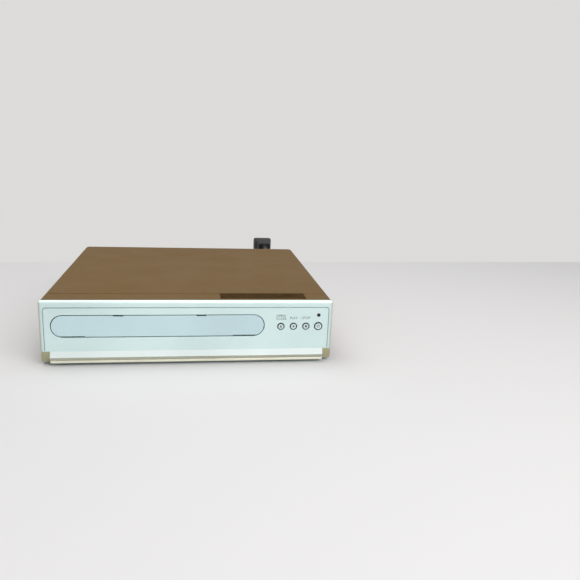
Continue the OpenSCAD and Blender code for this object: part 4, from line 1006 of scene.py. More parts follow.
class PLAYER_OT_front_bezel(bpy.types.Operator):
    """Moulds the front: its rim, groove, chin and lip, with the openings for door and buttons."""

    bl_idname = "player.front_bezel"
    bl_label = "Front bezel"

    def execute(self, context):
        s = context.scene.player_sizes
        bezel = core_of("front_bezel", "front_bezel_moulding")
        self.round_brow(bezel)
        self.round_front(bezel, s.mould_round / MM)
        smooth(bezel, 30)
        hand_over(bezel, "case", "bezel_silver", "face_paint", "front_bezel")
        self.paint_places(bezel)
        window_x, window_z = BUTTONS["power"][0], 42.4
        window = turned("receiver_lens", (window_x, FACE_Y + 3.2, window_z), FRONT, LENS_STEPS, 40)
        hand_over(window, "case", "window_plastic", "window_plastic", "receiver_window")
        self.print_words(s.print_height, s.print_proud)
        return {"FINISHED"}

    def round_brow(self, bezel):
        """Gives the bezel's upper front edge a soft round and opens the seam behind its rim."""
        side, brow = box_mm("front_bezel")[1].xz
        axis_y, axis_z = FACE_Y + BROW_ROUND, brow - BROW_ROUND
        corner = slab("brow_corner", around(0, side + 2), (FACE_Y - 1, axis_y),
                      (axis_z, brow + 1))
        cut(corner, rod("brow_round", (-side - 3, axis_y, axis_z), RIGHT, 2 * side + 6,
                        BROW_ROUND, 80))
        cut(bezel, corner)

        def on_seam(p):
            """True for a point on the outer edge of the seam behind the rim."""
            out, up = max(0, abs(p.x) - side + 1.6), max(0, p.z - brow + 1.6)
            return abs(p.y - FACE_Y - 3.5) < 0.01 and math.hypot(out, up) > 1.58

        bevel_edges(bezel, 0.45, 1, lambda a, b: on_seam(a) and on_seam(b))

    def round_front(self, bezel, width):
        """Takes the sharpness off the front's edges that lie within its outline's rounds."""
        def on_front(p):
            """True for a point on the front that is clear of its outline."""
            return abs(p.x) < 118 and p.z < TOP_Z - 3 and p.y < FACE_Y + 4

        bevel_edges(bezel, width, 2, lambda a, b: on_front(a) and on_front(b), 30, False)

    def paint_places(self, bezel):
        """Paints light and shade on the front: a painted highlight on the lip and the foot, painted
        shade in the groove, on the chin and its corners and round the button holes.
        """
        def under_lip(p, n):
            """True for a face of the front that is lower than the lip's top."""
            return p.y < FACE_Y + 3.6 and p.z < CHIN_TOP and n.z < 0.3

        for name, test in (
                # painted highlight on the lip's upward slope
                ("lip_paint", lambda p, n: p.y < FACE_Y + 0.1 and 7.4 < p.z < CHIN_TOP + 0.3
                 and n.z > 0.4 and abs(p.x) < LIP_END),
                # painted shade on the groove's floor
                ("groove_paint", lambda p, n: FACE_Y + 0.3 < p.y < FACE_Y + 0.75 and n.y < -0.5
                 and abs(p.x) < 118 and CHIN_TOP + 0.1 < p.z < TOP_Z - 4.8),
                # painted shade and warm reflection on the chin under the lip
                ("chin_paint", under_lip),
                # painted shade and warm reflection on the chin's ends
                ("corner_paint", lambda p, n: under_lip(p, n) and abs(p.x) > LIP_END),
                # painted highlight on the foot's front band
                ("foot_line", lambda p, n: p.y < FACE_Y - 0.5 and p.z < 4.6 and n.z > -0.2
                 and n.y < -0.5)):
            second_finish(bezel, name, test)
        # Painted shade round each button hole, where the gap to the cap lies in shade.
        for x, z, radius in BUTTONS.values():
            second_finish(bezel, "ring_paint", lambda p, n: p.y < FACE_Y + 2.4
                          and math.hypot(p.x - x, p.z - z) < radius + 0.5)

    def print_words(self, height, proud):
        """The plain words over the small buttons: the first has two lines."""
        line = WORD_LINE * height / MM
        for name, text, key, foot in (("word_open", "OPEN/", "eject", WORD_FOOT + 0.7 + line),
                                      ("word_close", "CLOSE", "eject", WORD_FOOT + 0.7 - line),
                                      ("word_play", "PLAY", "play", WORD_FOOT),
                                      ("word_stop", "STOP", "stop", WORD_FOOT)):
            deselect()
            place = Vector((BUTTONS[key][0], FACE_Y, foot)) * MM
            bpy.ops.object.text_add(location=place, rotation=(math.pi / 2, 0, 0))
            letters = bpy.context.object.data
            letters.body = text
            letters.align_x = "CENTER"
            letters.size = height * 1.4
            letters.extrude = proud
            letters.resolution_u = 3
            bpy.ops.object.convert(target="MESH")
            hand_over(named(name), "case", "part_black", "face_ink")


# The door's height, and its notches: middle from the door's, half length, and depth
DOOR_HEIGHT = 17.8
TOP_NOTCH, FOOT_NOTCH = (33.5, 4, 0.7), (70, 10, 0.5)


class PLAYER_OT_tray_door(bpy.types.Operator):
    """Moulds the long door on the front of the tray."""

    bl_idname = "player.tray_door"
    bl_label = "Tray door"

    def execute(self, context):
        low, high = box_mm("tray_door")
        middle = (low + high) / 2
        half = DOOR_HEIGHT / 2
        reach = (high.x - low.x) / 2 - half
        door = rod("tray_door_face", (middle.x, low.y, middle.z), BACK, high.y - low.y, half, 94)
        for side in (-1, 1):
            pick(door, "VERT", lambda point: (point.co.x / MM - middle.x) * side > 0.01)
            bpy.ops.transform.translate(value=(side * reach * MM, 0, 0))
        deselect()
        self.cut_notches(door, middle, half)
        bevel_edges(door, 0.45, 4, lambda a, b: max(a.y, b.y) < low.y + 0.01)
        inset_faces(door, 0.9, 0.0, lambda p, n: n.y < -0.99 and p.y < low.y + 0.01)
        hand_over(smooth(door, 40), "tray", "door_silver", "door_paint", "tray_door")
        return {"FINISHED"}

    def cut_notches(self, door, middle, half):
        """The shallow notches in the door's upper and lower edges."""
        through = (-120, -110)
        for side in (-1, 1):
            for turn, (off, reach, depth) in ((1, TOP_NOTCH), (-1, FOOT_NOTCH)):
                edge = middle.z + turn * half
                cut(door, slab("notch", around(middle.x + side * off, reach), through,
                               (edge - turn * depth, edge + turn * 2)))


# The back of every button's stem, the height of its ink, and the half sizes of its signs
STEM_Y, SIGN_Y = FACE_Y + 6, FACE_Y - 0.15
EJECT_SIGN, PLAY_SIGN, STOP_SIGN = 1.08, 1.32, 0.92
POWER_RING, POWER_HOLE, POWER_GAP, POWER_BAR = 1.3, 0.92, 0.36, 0.15


class PLAYER_OT_buttons(bpy.types.Operator):
    """Turns each round button with its collar and stem, and prints the sign on its face."""

    bl_idname = "player.buttons"
    bl_label = "Buttons"

    def execute(self, context):
        proud = context.scene.player_sizes.print_proud / MM
        for key, (x, z, radius) in BUTTONS.items():
            collar = radius + COLLAR
            cap = turned(f"{key}_cap", (x, STEM_Y, z), FRONT, [
                (0, 1.0), (0.2, 1.2), (2.1, 1.2), (2.1, collar - 0.1), (2.2, collar),
                (3.2, collar), (3.3, collar - 0.1), (3.3, radius), (5.95, radius),
                (6.12, radius - 0.07), (6.24, radius - 0.22), (6.3, radius - 0.45),
                (6.28, radius - 0.7), (6.2, radius - 1.05), (6.15, radius - 1.5)], 56)
            hand_over(cap, key, "button_plastic", "button_plastic", f"{key}_button")
            # Painted shade on the cap's outer round, in the gap to the face.
            second_finish(cap, "ring_paint", lambda p, n: p.y < STEM_Y - 3.5
                          and math.hypot(p.x - x, p.z - z) > radius - 0.34)
            for sign in getattr(self, f"{key}_sign")(x, z, proud):
                hand_over(sign, key, "part_black", "face_ink")
        return {"FINISHED"}

    def eject_sign(self, x, z, proud):
        """An arrow that points up, over a bar."""
        arrow = rod("eject_arrow", (x, SIGN_Y, z + 0.3), FRONT, proud, EJECT_SIGN, 3)
        return self.turn_sign(arrow, x, z, 0), slab("eject_bar", around(x, 0.94),
                                                    (SIGN_Y - proud, SIGN_Y), (z - 1, z - 0.5))

    def play_sign(self, x, z, proud):
        """An arrow that points right."""
        arrow = rod("play_arrow", (x, SIGN_Y, z), FRONT, proud, PLAY_SIGN, 3)
        return (self.turn_sign(arrow, x, z, -90),)

    def stop_sign(self, x, z, proud):
        """A square."""
        return (slab("stop_square", around(x, STOP_SIGN), (SIGN_Y - proud, SIGN_Y),
                     around(z, STOP_SIGN)),)

    def power_sign(self, x, z, proud):
        """A ring with a gap at its top and a bar in the gap."""
        ring = rod("power_ring", (x, SIGN_Y, z), FRONT, proud, POWER_RING, 40)
        cut(ring, rod("ring_hole", (x, SIGN_Y + 1, z), FRONT, 2, POWER_HOLE, 40),
            slab("ring_gap", around(x, POWER_GAP), around(SIGN_Y, 1), (z + 0.3, z + 2)))
        return ring, slab("power_bar", around(x, POWER_BAR), (SIGN_Y - proud, SIGN_Y),
                          (z + 0.25, z + 1.6))

    def turn_sign(self, piece, x, z, degrees):
        """Turns a sign in the plane of the face so that its first point looks up, then on."""
        middle = Vector((x, SIGN_Y, z)) * MM
        tip = max((v.co - middle for v in piece.data.vertices), key=lambda p: p.z)
        turn = -math.atan2(tip.x, tip.z) - math.radians(degrees)
        piece.matrix_world = pivoted(Matrix.Rotation(turn, 4, "Y"), middle) @ piece.matrix_world
        return settle(piece)


# The pressed line across the cover: from, to and depth
COVER_LINE, COVER_LINE_DEPTH = (-95.4, -93.4), 0.34


class PLAYER_OT_top_cover(bpy.types.Operator):
    """Rounds the steel cover's edges, presses its line and lays the bare label on it."""

    bl_idname = "player.top_cover"
    bl_label = "Top cover"

    def execute(self, context):
        cover = core_of("top_cover", "top_cover_sheet")
        cut(cover, slab("pressed_line", around(0, SIDE_X - 3.2), COVER_LINE,
                        (TOP_Z - COVER_LINE_DEPTH, TOP_Z + 1)))
        rounded(cover, context.scene.player_sizes.sheet_round, 2, 40)
        hand_over(smooth(cover, 40), "case", "cover_paint", "cover_paint", "top_cover")
        low, high = box_mm("top_label")
        label = slab("bare_label", (low.x, high.x), (low.y, high.y), (low.z, high.z - 0.02))
        bevel_edges(label, 0.9, 5, upright)
        inset_faces(label, 0.25, 0.02, looks_up)
        hand_over(smooth(label, 30), "case", "label_film", "label_film", "top_label")
        return {"FINISHED"}


def pan_screw(name, start, way, length, radius, head, pitch=0.7):
    """A threaded screw with a domed head and a cross recess; its seat is at the start point."""
    at = -length + radius * 0.7
    steps = [(-length, radius * 0.45), (at, radius * 0.85)]
    while at < -0.5:
        steps += [(at + pitch * 0.25, radius), (at + pitch * 0.5, radius * 0.84)]
        at += pitch * 0.75
    steps += [(-0.1, radius), (0, radius), (0, head), (0.45, head), (0.9, head * 0.93),
              (1.25, head * 0.78), (1.43, head * 0.58), (1.5, head * 0.35)]
    screw = turned(name, start, way, steps, 32)
    middle = Vector(start) + way * 1.3
    along = max(range(3), key=lambda axis: abs(way[axis]))
    for arm in {0, 1, 2} - {along}:
        reach = [head * 0.11] * 3
        reach[along], reach[arm] = 0.7, head * 0.5
        cut(screw, slab("cross", *map(around, middle, reach)))
    return smooth(screw, 32)


def turn_to(way, start, old_way, old_start):
    """The move that carries a piece from one start and way to another."""
    spin = old_way.rotation_difference(way).to_matrix().to_4x4()
    return Matrix.Translation(Vector(start) * MM) @ spin @ Matrix.Translation(
        -Vector(old_start) * MM)


def drive_screws(names, places, finish_name, node, *sizes):
    """Models one screw at the first (way, start) place, and copies it to the others."""
    (way, start), *others = places
    first = pan_screw(names[0], start, way, *sizes)
    hand_over(first, "case", finish_name, finish_name, node)
    for name, (new_way, new_start) in zip(names[1:], others):
        twin = copy_of(first, name, turn=turn_to(new_way, new_start, way, start))
        hand_over(twin, "case", finish_name, finish_name, node)


# Screws: length, thread, head and any finer pitch; then where they sit in cover, boards and loader
COVER_SCREW, BOARD_SCREW, EAR_SCREW = (6, 1.4, 2.9), (5, 1.0, 2.4, 0.5), (8, 1.4, 2.9)
HEM_SCREW_X, HEM_SCREW_Z = 90, 48.7
SIDE_SCREW_Y, SIDE_SCREW_Z = 74, 13.8
BOARD_EDGE = 4.0
BRIDGE_X, BRIDGE_Y = 69.1, 16
EAR_X, EAR_Z = 75.6, 12.0


class PLAYER_OT_screws(bpy.types.Operator):
    """Models one cover screw and two inner screws, and puts copies in every hole."""

    bl_idname = "player.screws"
    bl_label = "Screws"

    def execute(self, context):
        hem = [(BACK, (x, BACK_Y, HEM_SCREW_Z)) for x in (0, -HEM_SCREW_X, HEM_SCREW_X)]
        sides = [(way, (way.x * SIDE_X, SIDE_SCREW_Y, SIDE_SCREW_Z)) for way in (LEFT, RIGHT)]
        names = ("hem_screw_middle", "hem_screw_left", "hem_screw_right", "side_screw_left",
                 "side_screw_right")
        drive_screws(names, hem + sides, "dark_screw", "cover_screws", *COVER_SCREW)
        places = [(UP, place) for place in self.board_places()] + self.front_places()
        names = [f"small_screw_{count:02d}" for count in range(1, len(places) + 1)]
        drive_screws(names, places, "bright_steel", "inner_screws", *BOARD_SCREW)
        low, high = box_mm("loader_frame")
        ears = [(UP, (SPIN.x + side * EAR_X, y, EAR_Z)) for side in (-1, 1)
                for y in (low.y + 14, high.y - 16)]
        names = [f"ear_screw_{count}" for count in range(1, 5)]
        drive_screws(names, ears, "bright_steel", "inner_screws", *EAR_SCREW)
        return {"FINISHED"}

    def board_places(self):
        """Near the main and power boards' corners, the jack board's front edge and the bridge."""
        main, power, jack = (box_mm(f"{board}_board") for board in ("main", "power", "jack"))
        rows = [y for low, high in (main, power) for y in (low.y + BOARD_EDGE, high.y - BOARD_EDGE)]
        places = [(x, y, BOARD_TOP) for x in (main[0].x + BOARD_EDGE, main[1].x - BOARD_EDGE)
                  for y in rows]
        places += [(x, jack[0].y + BOARD_EDGE, BOARD_TOP)
                   for x in (jack[0].x + BOARD_EDGE, jack[1].x - BOARD_EDGE)]
        bridge = box_mm("clamp_bridge")[1].z
        return places + [(SPIN.x + side * BRIDGE_X, SPIN.y + turn * BRIDGE_Y, bridge)
                         for side in (-1, 1) for turn in (-1, 1)]

    def front_places(self):
        """Two opposite corners of the upright front board."""
        low, high = box_mm("front_board")
        return [(BACK, (low.x + BOARD_EDGE, high.y, high.z - 3.5)),
                (BACK, (high.x - BOARD_EDGE, high.y, low.z + 3.5))]


FOOT_X, FOOT_ROWS = 98, (-80, 72)
FOOT_STEPS = ((0.5, 5.2), (0.5, 6.0), (0.05, 6.4), (0, 6.7), (0, 7.6), (0.1, 8.0), (0.5, 8.4),
              (2.6, 8.9), (3.05, 9), (3.3, 8.85), (3.3, 2.4), (4.6, 2.4), (4.6, 3.3),
              (4.9, 3.4), (5.5, 3.1), (5.8, 2.5))


class PLAYER_OT_feet(bpy.types.Operator):
    """Turns one rubber foot with its stem and copies it to the other corners."""

    bl_idname = "player.feet"
    bl_label = "Rubber feet"

    def execute(self, context):
        (x, y), *others = [(x, y) for y in FOOT_ROWS for x in (-FOOT_X, FOOT_X)]
        feet = [turned("rubber_foot_1", (x, y, 0), UP, FOOT_STEPS, 64)]
        for count, (new_x, new_y) in enumerate(others, 2):
            feet.append(copy_of(feet[0], f"rubber_foot_{count}", (new_x - x, new_y - y, 0)))
        for foot in feet:
            hand_over(foot, "case", "black_rubber", "rubber", "rubber_feet")
        return {"FINISHED"}


class PLAYER_OT_chassis(bpy.types.Operator):
    """Finishes the pressed pan and the rear panel with rounded sheet edges."""

    bl_idname = "player.chassis"
    bl_label = "Chassis"

    def execute(self, context):
        edge = context.scene.player_sizes.sheet_round
        soften(((node, "case", "plated_steel", "zinc_sheet", edge)
                for node in ("chassis_pan", "rear_panel")))
        return {"FINISHED"}


class PLAYER_OT_disc_tray(bpy.types.Operator):
    """Moulds the sliding tray with its two disc recesses, its window and its rack."""

    bl_idname = "player.disc_tray"
    bl_label = "Disc tray"

    def execute(self, context):
        tray = core_of("disc_tray", "disc_tray_moulding")
        rounded(tray, context.scene.player_sizes.mould_round, 2, 40)
        hand_over(smooth(tray, 40), "tray", "tray_grey", "tray_plastic", "disc_tray")
        return {"FINISHED"}


# Turned pieces: distances along the axis and radii
PUCK_STEPS = ((3, 8.5), (0.5, 8.5), (0, 9), (0, 13.3), (0.5, 13.8), (6.1, 13.8), (6.1, 16.8),
              (6.3, 17), (7.1, 17), (7.3, 16.8), (7.3, 11.6), (6.9, 11.4), (6.9, 9.6), (7.3, 9.4),
              (7.3, 8.3), (7.1, 8.1), (4.8, 8.1))
MAGNET_STEPS = ((0, 7.7), (0.3, 8), (1.9, 8), (2.1, 7.8), (2.1, 3.2), (1.9, 3.0), (0.4, 3.0))
LOADING_MOTOR_STEPS = (
    (0, 2.6), (0.2, 3), (1, 3), (1, 11.4), (1.2, 11.9), (1.7, 12.2), (12.1, 12.2), (12.5, 11.9),
    (12.6, 11.4), (12.6, 10.6), (12.35, 10.5), (12.35, 4), (13, 3.8), (13, 1))
ROD_STEPS = ((0, 1.2), (0.3, 1.5), (83.2, 1.5), (83.5, 1.2))
TABLE_STEPS = (
    (21.4, 0.8), (21.6, 1), (27.8, 1), (27.8, 4.7), (28.1, 5), (35.4, 5), (35.4, 13.6),
    (35.8, 14), (37.7, 14), (38, 13.7), (38, 12.9), (37.85, 12.8), (37.85, 8.7), (38, 8.6),
    (38, 7.45), (39.6, 6.4), (40.0, 6.05), (40.2, 5.6), (40.2, 2.6), (39.4, 2.4), (39.4, 1.2))
SPINDLE_MOTOR_STEPS = (
    (0, 2.6), (0.1, 3), (0.3, 3.2), (0.3, 10.8), (0, 11), (0, 11.6), (0.4, 12), (5.6, 12),
    (6, 11.7), (6, 3.5), (7.5, 3.5), (7.7, 3.2), (7.7, 1.06), (1.5, 1.06))
SLED_MOTOR_STEPS = ((0, 2), (0.3, 2.2), (0.3, 5.2), (0.7, 5.8), (1.1, 6), (12.0, 6), (12.4, 5.8),
                    (12.4, 2.4), (13, 2.2), (13, 1))


class PLAYER_OT_loader(bpy.types.Operator):
    """Finishes the loader: its frame, bridge, clamp, motor, belt, gears and cam slider."""

    bl_idname = "player.loader"
    bl_label = "Loader"

    def execute(self, context):
        small = context.scene.player_sizes.small_round
        tooth = small * 0.6
        soften((("loader_frame", "case", "frame_black", "frame_plastic", small),
                ("clamp_bridge", "case", "plated_steel", "rolled_steel", small * 0.7),
                ("cam_slider", "cam", "gear_white", "gear_acetal", small),
                ("drive_gear", "drive", "gear_white", "gear_acetal", tooth),
                ("pulley_gear", "pulley", "gear_white", "gear_acetal", tooth),
                ("motor_pulley", "motor_wheel", "gear_white", "gear_acetal", tooth),
                ("loading_belt", "case", "black_rubber", "rubber", small)))
        puck = turned("clamp_puck_part", (SPIN.x, SPIN.y, 39.0), UP, PUCK_STEPS, 72)
        hand_over(puck, "clamp", "gear_white", "gear_acetal", "clamp_puck")
        magnet = turned("clamp_magnet_part", (SPIN.x, SPIN.y, 43.8), UP, MAGNET_STEPS)
        hand_over(magnet, "clamp", "magnet_grey", "magnet_grey", "clamp_magnet")
        x, y, _ = LOADING_MOTOR
        can = turned("loading_motor_part", (x, y, 14.2), UP, LOADING_MOTOR_STEPS, 64)
        cut(can, slab("can_slot", around(x, 4), (y + 8.5, y + 9.8), (26.2, 27.4)))
        hand_over(smooth(can), "case", "motor_can", "drawn_aluminium", "loading_motor")
        return {"FINISHED"}


class PLAYER_OT_traverse(bpy.types.Operator):
    """Finishes the traverse: its frame, bushes, plate, motors, table, rods and pickup."""

    bl_idname = "player.traverse"
    bl_label = "Traverse"

    def execute(self, context):
        small = context.scene.player_sizes.small_round
        soften((("traverse_frame", "traverse", "frame_black", "frame_plastic", small),
                ("rod_clips", "traverse", "frame_black", "frame_plastic", small),
                ("mech_plate", "traverse", "plated_steel", "rolled_steel", small * 0.7),
                ("damper_bushes", "traverse", "black_rubber", "rubber", small),
                ("pickup_sled", "sled", "frame_black", "frame_plastic", small)))
        steel = ("bright_steel", "bright_steel")
        motor = ("motor_can", "drawn_aluminium")
        motor_start = (SLED_SCREW.x, 44, SLED_SCREW.z)
        for name, start, way, steps, sides, angle, place in (
                ("guide_rod_left", (SPIN.x - 19, -32.5, 23.5), BACK, ROD_STEPS, 40, 38,
                 ("traverse", *steel, "guide_rods")),
                ("guide_rod_right", (SPIN.x + 19, -32.5, 23.5), BACK, ROD_STEPS, 40, 38,
                 ("traverse", *steel, "guide_rods")),
                ("turntable_part", (SPIN.x, SPIN.y, 0), UP, TABLE_STEPS, 72, 38,
                 ("table", "table_plastic", "table_plastic", "turntable")),
                ("spindle_motor_part", (SPIN.x, SPIN.y, 19.6), UP, SPINDLE_MOTOR_STEPS, 64, 38,
                 ("traverse", *motor, "spindle_motor")),
                ("sled_motor_part", motor_start, BACK, SLED_MOTOR_STEPS, 48, 38,
                 ("traverse", *motor, "sled_motor")),
                ("lead_screw_part", SLED_SCREW, BACK, self.screw_steps(), 28, 30,
                 ("screw", *steel, "lead_screw"))):
            piece = hung(turned(name, start, way, steps, sides))
            hand_over(smooth(piece, angle), *place)
        soften((("pickup_lens", "sled", "lens_glass", "lens_glass", small * 0.3),))
        return {"FINISHED"}

    def screw_steps(self):
        """Steps of the lead screw: a plain end, its thread and another plain end."""
        steps = [(0, 1.1), (0.3, 1.4), (5.5, 1.4)]
        at, pitch = 5.8, 1.5
        while at < 76:
            steps += [(at, 1.5), (at + 0.6, 1.5), (at + 0.9, 1.2), (at + 1.2, 1.2)]
            at += pitch
        return steps + [(77, 1.4), (78.1, 1.4), (78.4, 1.1)]


# Chips: name, x, y, width, depth, height and how many sides have legs
CHIPS = (("chip_main", 70.6, -60, 24, 24, 1.6, 4), ("chip_memory", 70.6, -30, 15, 10, 1.2, 2),
         ("chip_servo", 68.6, -14, 12, 14, 1.2, 2), ("chip_audio", 68.6, -84, 16, 10, 2.2, 2),
         ("chip_clock", 90.6, -82, 6, 12, 3.5, 0))
LEG_OUT, LEG_PITCH, LEG_THICK, LEG_WIDTH = 1.1, 1.0, 0.14, 0.4
# Connectors: x, y, width, depth and height
CONNECTORS = ((58.6, -64, 5, 28, 5), (58.6, -26, 6, 14, 6), (91.3, -99, 16, 5, 5),
              (72.6, 3, 20, 5, 6), (72.6, 30, 20, 5, 6), (97.3, 92, 12, 8, 8),
              (-50, 82, 22, 5, 6))
PIN_PITCH, PIN_HALF = 2.0, 0.3
# Capacitors: radius, height and places
CAPACITORS = ((8.0, 26.0, ((69.6, 90),)),
              (3.8, 12.0, tuple((64.6 + step * 9, 41) for step in range(4))),
              (3.0, 7.0, tuple((90.6, -26 + step * 8) for step in range(3))))
# Transformer: its corner, width and depth, and the heights of its two cores and its winding
CORE_CORNER, CORE_WIDE, CORE_DEEP = (66.6, 50.0), 28, 16
CORES = (("core_lower", 0, 5), ("core_upper", 17, 22))
# Fuse: its axis, its front end and its length
FUSE_X, FUSE_Z, FUSE_Y, FUSE_LONG = 86.6, 16.0, 79.0, 20


class PLAYER_OT_boards(bpy.types.Operator):
    """Fills the boards: chips with legs, connectors, capacitors, transformer, fuse and cables."""

    bl_idname = "player.boards"
    bl_label = "Boards"

    def execute(self, context):
        small = context.scene.player_sizes.small_round
        for node, name in (("main_board", "green_board"), ("front_board", "green_board"),
                           ("power_board", "tan_board"), ("jack_board", "tan_board"),
                           ("ribbon_cables", "ribbon_white")):
            for place in frame["nodes"][node].material_slots:
                place.material = FINISHES[name]
        soften((("front_switches", "case", "part_black", "socket_black", small),
                ("power_heatsink", "case", "heatsink_aluminium", "drawn_aluminium", small)))
        for row in CHIPS:
            self.place_chip(*row)
        for count, row in enumerate(CONNECTORS, 1):
            self.place_connector(f"connector_{count}", *row)
        self.place_capacitors()
        self.wind_transformer()
        self.clip_fuse()
        return {"FINISHED"}

    def place_chip(self, name, x, y, wide, deep, tall, sides):
        """A chip's body, and bent legs on its two long sides or on all four."""
        out_y = LEG_OUT if sides else 0
        out_x = LEG_OUT if sides == 4 else 0
        lift = 0.15 if sides else 0
        body = slab(name, (x + out_x, x + wide - out_x), (y + out_y, y + deep - out_y),
                    (BOARD_TOP + lift, BOARD_TOP + tall))
        inset_faces(body, 0.2, 0.0, looks_up)
        rounded(body, 0.00018)
        if sides:
            dot = (x + out_x + 2, y + out_y + 2, BOARD_TOP + tall - 0.06)
            cut(body, rod("dot", dot, UP, 1, 0.6, 24))
        hand_over(smooth(body), "case", "part_black", "chip_epoxy", "main_chips")
        if sides:
            legs = self.bend_legs(name, x, y, wide, deep, tall, sides)
            hand_over(legs, "case", "part_black", "bright_steel", "main_chips")

    def bend_legs(self, name, x, y, wide, deep, tall, sides):
        """One bent leg, repeated along a side by a step, and that row turned to the others."""
        mid, foot = BOARD_TOP + tall * 0.5, BOARD_TOP + 0.1
        leg = slab("leg", (x + 1.6, x + 1.6 + LEG_WIDTH),
                   (y + LEG_OUT - 0.35, y + LEG_OUT + 0.1), around(mid, LEG_THICK / 2))
        pick_faces(leg, lambda p, n: n.y < -0.9)
        for step in ((0, -0.3, foot - mid), (0, 0.65 - LEG_OUT, 0)):
            bpy.ops.mesh.extrude_region_move(
                TRANSFORM_OT_translate={"value": Vector(step) * MM})
        row = repeated(leg, int((wide - 3.2) / LEG_PITCH), (LEG_PITCH * MM, 0, 0))
        middle = Vector((x + wide / 2, y + deep / 2, 0)) * MM
        rows = [row]
        for angle in ((180,) if sides == 2 else (90, 180, 270)):
            spin = pivoted(Matrix.Rotation(math.radians(angle), 4, "Z"), middle)
            rows.append(copy_of(row, "leg_row", turn=spin))
        return outward(joined(f"{name}_legs", rows))

    def place_connector(self, name, x, y, wide, deep, tall):
        """A nylon body with a sunk mouth, and a row of pins along its longer side."""
        body = slab(name, (x, x + wide), (y, y + deep), (BOARD_TOP, BOARD_TOP + tall))
        inset_faces(body, 0.8, -tall * 0.6, looks_up)
        hand_over(smooth(rounded(body, 0.0002)), "case", "connector_ivory", "nylon_ivory",
                  "board_connectors")
        along = RIGHT if wide > deep else BACK
        total = max(2, int((max(wide, deep) - 3) / PIN_PITCH))
        pin = slab("pin", around(x + wide / 2, PIN_HALF), around(y + deep / 2, PIN_HALF),
                   (BOARD_TOP + tall * 0.3, BOARD_TOP + tall * 0.86))
        pin.location = -along * (total - 1) / 2 * PIN_PITCH * MM
        pins = repeated(settle(pin), total, along * PIN_PITCH * MM)
        pins.name = f"{name}_pins"
        hand_over(rounded(pins, 0.00008, 1), "case", "connector_ivory", "bright_steel",
                  "board_connectors")

    def place_capacitors(self):
        """Sleeved cans: turned once for each size and copied to their places."""
        names = (f"capacitor_{count}" for count in range(1, 100))
        for radius, tall, places in CAPACITORS:
            can = self.turn_can(*places[0], radius, tall)
            for place in places:
                step = (place[0] - places[0][0], place[1] - places[0][1], 0)
                twin = copy_of(can, next(names), step)
                hand_over(twin, "case", "capacitor_sleeve", "can_sleeve", "capacitors")
                second_finish(twin, "can_top", lambda p, n: p.z > BOARD_TOP + tall - 0.4
                              and n.z > 0.5 and (p.xy - Vector(place)).length < radius * 0.84)
            bpy.data.objects.remove(can)

    def turn_can(self, x, y, radius, tall):
        """One can with its crimp, its rolled top and the cross in it."""
        groove, rim = radius * 0.94, tall - 0.15
        can = turned("capacitor", (x, y, BOARD_TOP), UP, [
            (0, radius * 0.8), (0.1, radius * 0.97), (0.4, radius), (1.4, radius), (1.8, groove),
            (2.2, groove), (2.6, radius), (tall - 0.5, radius), (tall - 0.12, radius * 0.97),
            (tall, radius * 0.9), (tall, radius * 0.82), (rim, radius * 0.78),
            (rim, radius * 0.3)], 40)
        for half_x, half_y in ((0.14, radius * 0.6), (radius * 0.6, 0.14)):
            cut(can, slab("vent", around(x, half_x), around(y, half_y),
                          (BOARD_TOP + tall - 0.3, BOARD_TOP + tall + 1)))
        return smooth(can)

    def wind_transformer(self):
        """Two ferrite halves round a taped winding."""
        x, y = CORE_CORNER
        gap = (CORES[0][2], CORES[1][1])
        rows = [(name, 0, span, 1.2, 3, "ferrite") for name, *span in CORES]
        rows.append(("winding_tape", 3, gap, 3.0, 5, "yellow_tape"))
        for name, side, (low, high), corner, segments, finish_name in rows:
            piece = slab(name, (x + side, x + CORE_WIDE - side), (y, y + CORE_DEEP),
                         (BOARD_TOP + low, BOARD_TOP + high))
            bevel_edges(piece, corner, segments, upright)
            hand_over(smooth(rounded(piece, 0.0003)), "case", "transformer_tape", finish_name,
                      "transformer")

    def clip_fuse(self):
        """A glass fuse with its two caps in sprung clips."""
        x, y, z = FUSE_X, FUSE_Y, FUSE_Z
        glass = turned("fuse_glass", (x, y + 4.6, z), BACK, [
            (0, 2.35), (10.8, 2.35), (10.8, 1.9), (0.3, 1.9)], 36)
        hand_over(glass, "case", "fuse_metal", "fuse_glass", "fuse")
        cap = turned("fuse_cap_front", (x, y, z), BACK, [
            (0, 1.6), (0.1, 2.2), (0.4, 2.5), (0.8, 2.6), (4.6, 2.6), (4.9, 2.5), (4.9, 2.38),
            (4.5, 2.38)], 36)
        other = copy_of(cap, "fuse_cap_back",
                        turn=turn_to(FRONT, (x, y + FUSE_LONG, z), BACK, (x, y, z)))
        for piece in (cap, other):
            hand_over(piece, "case", "fuse_metal", "nickel", "fuse")
        for name, at in (("fuse_clip_front", y + 1), ("fuse_clip_back", y + FUSE_LONG - 4)):
            clip = slab(name, around(x, 1.5), (at, at + 3), (BOARD_TOP, z - 2.3))
            inset_faces(clip, 0.4, -0.25, lambda p, n: abs(n.x) > 0.9)
            hand_over(smooth(rounded(clip, 0.0002)), "case", "fuse_metal", "nickel", "fuse")


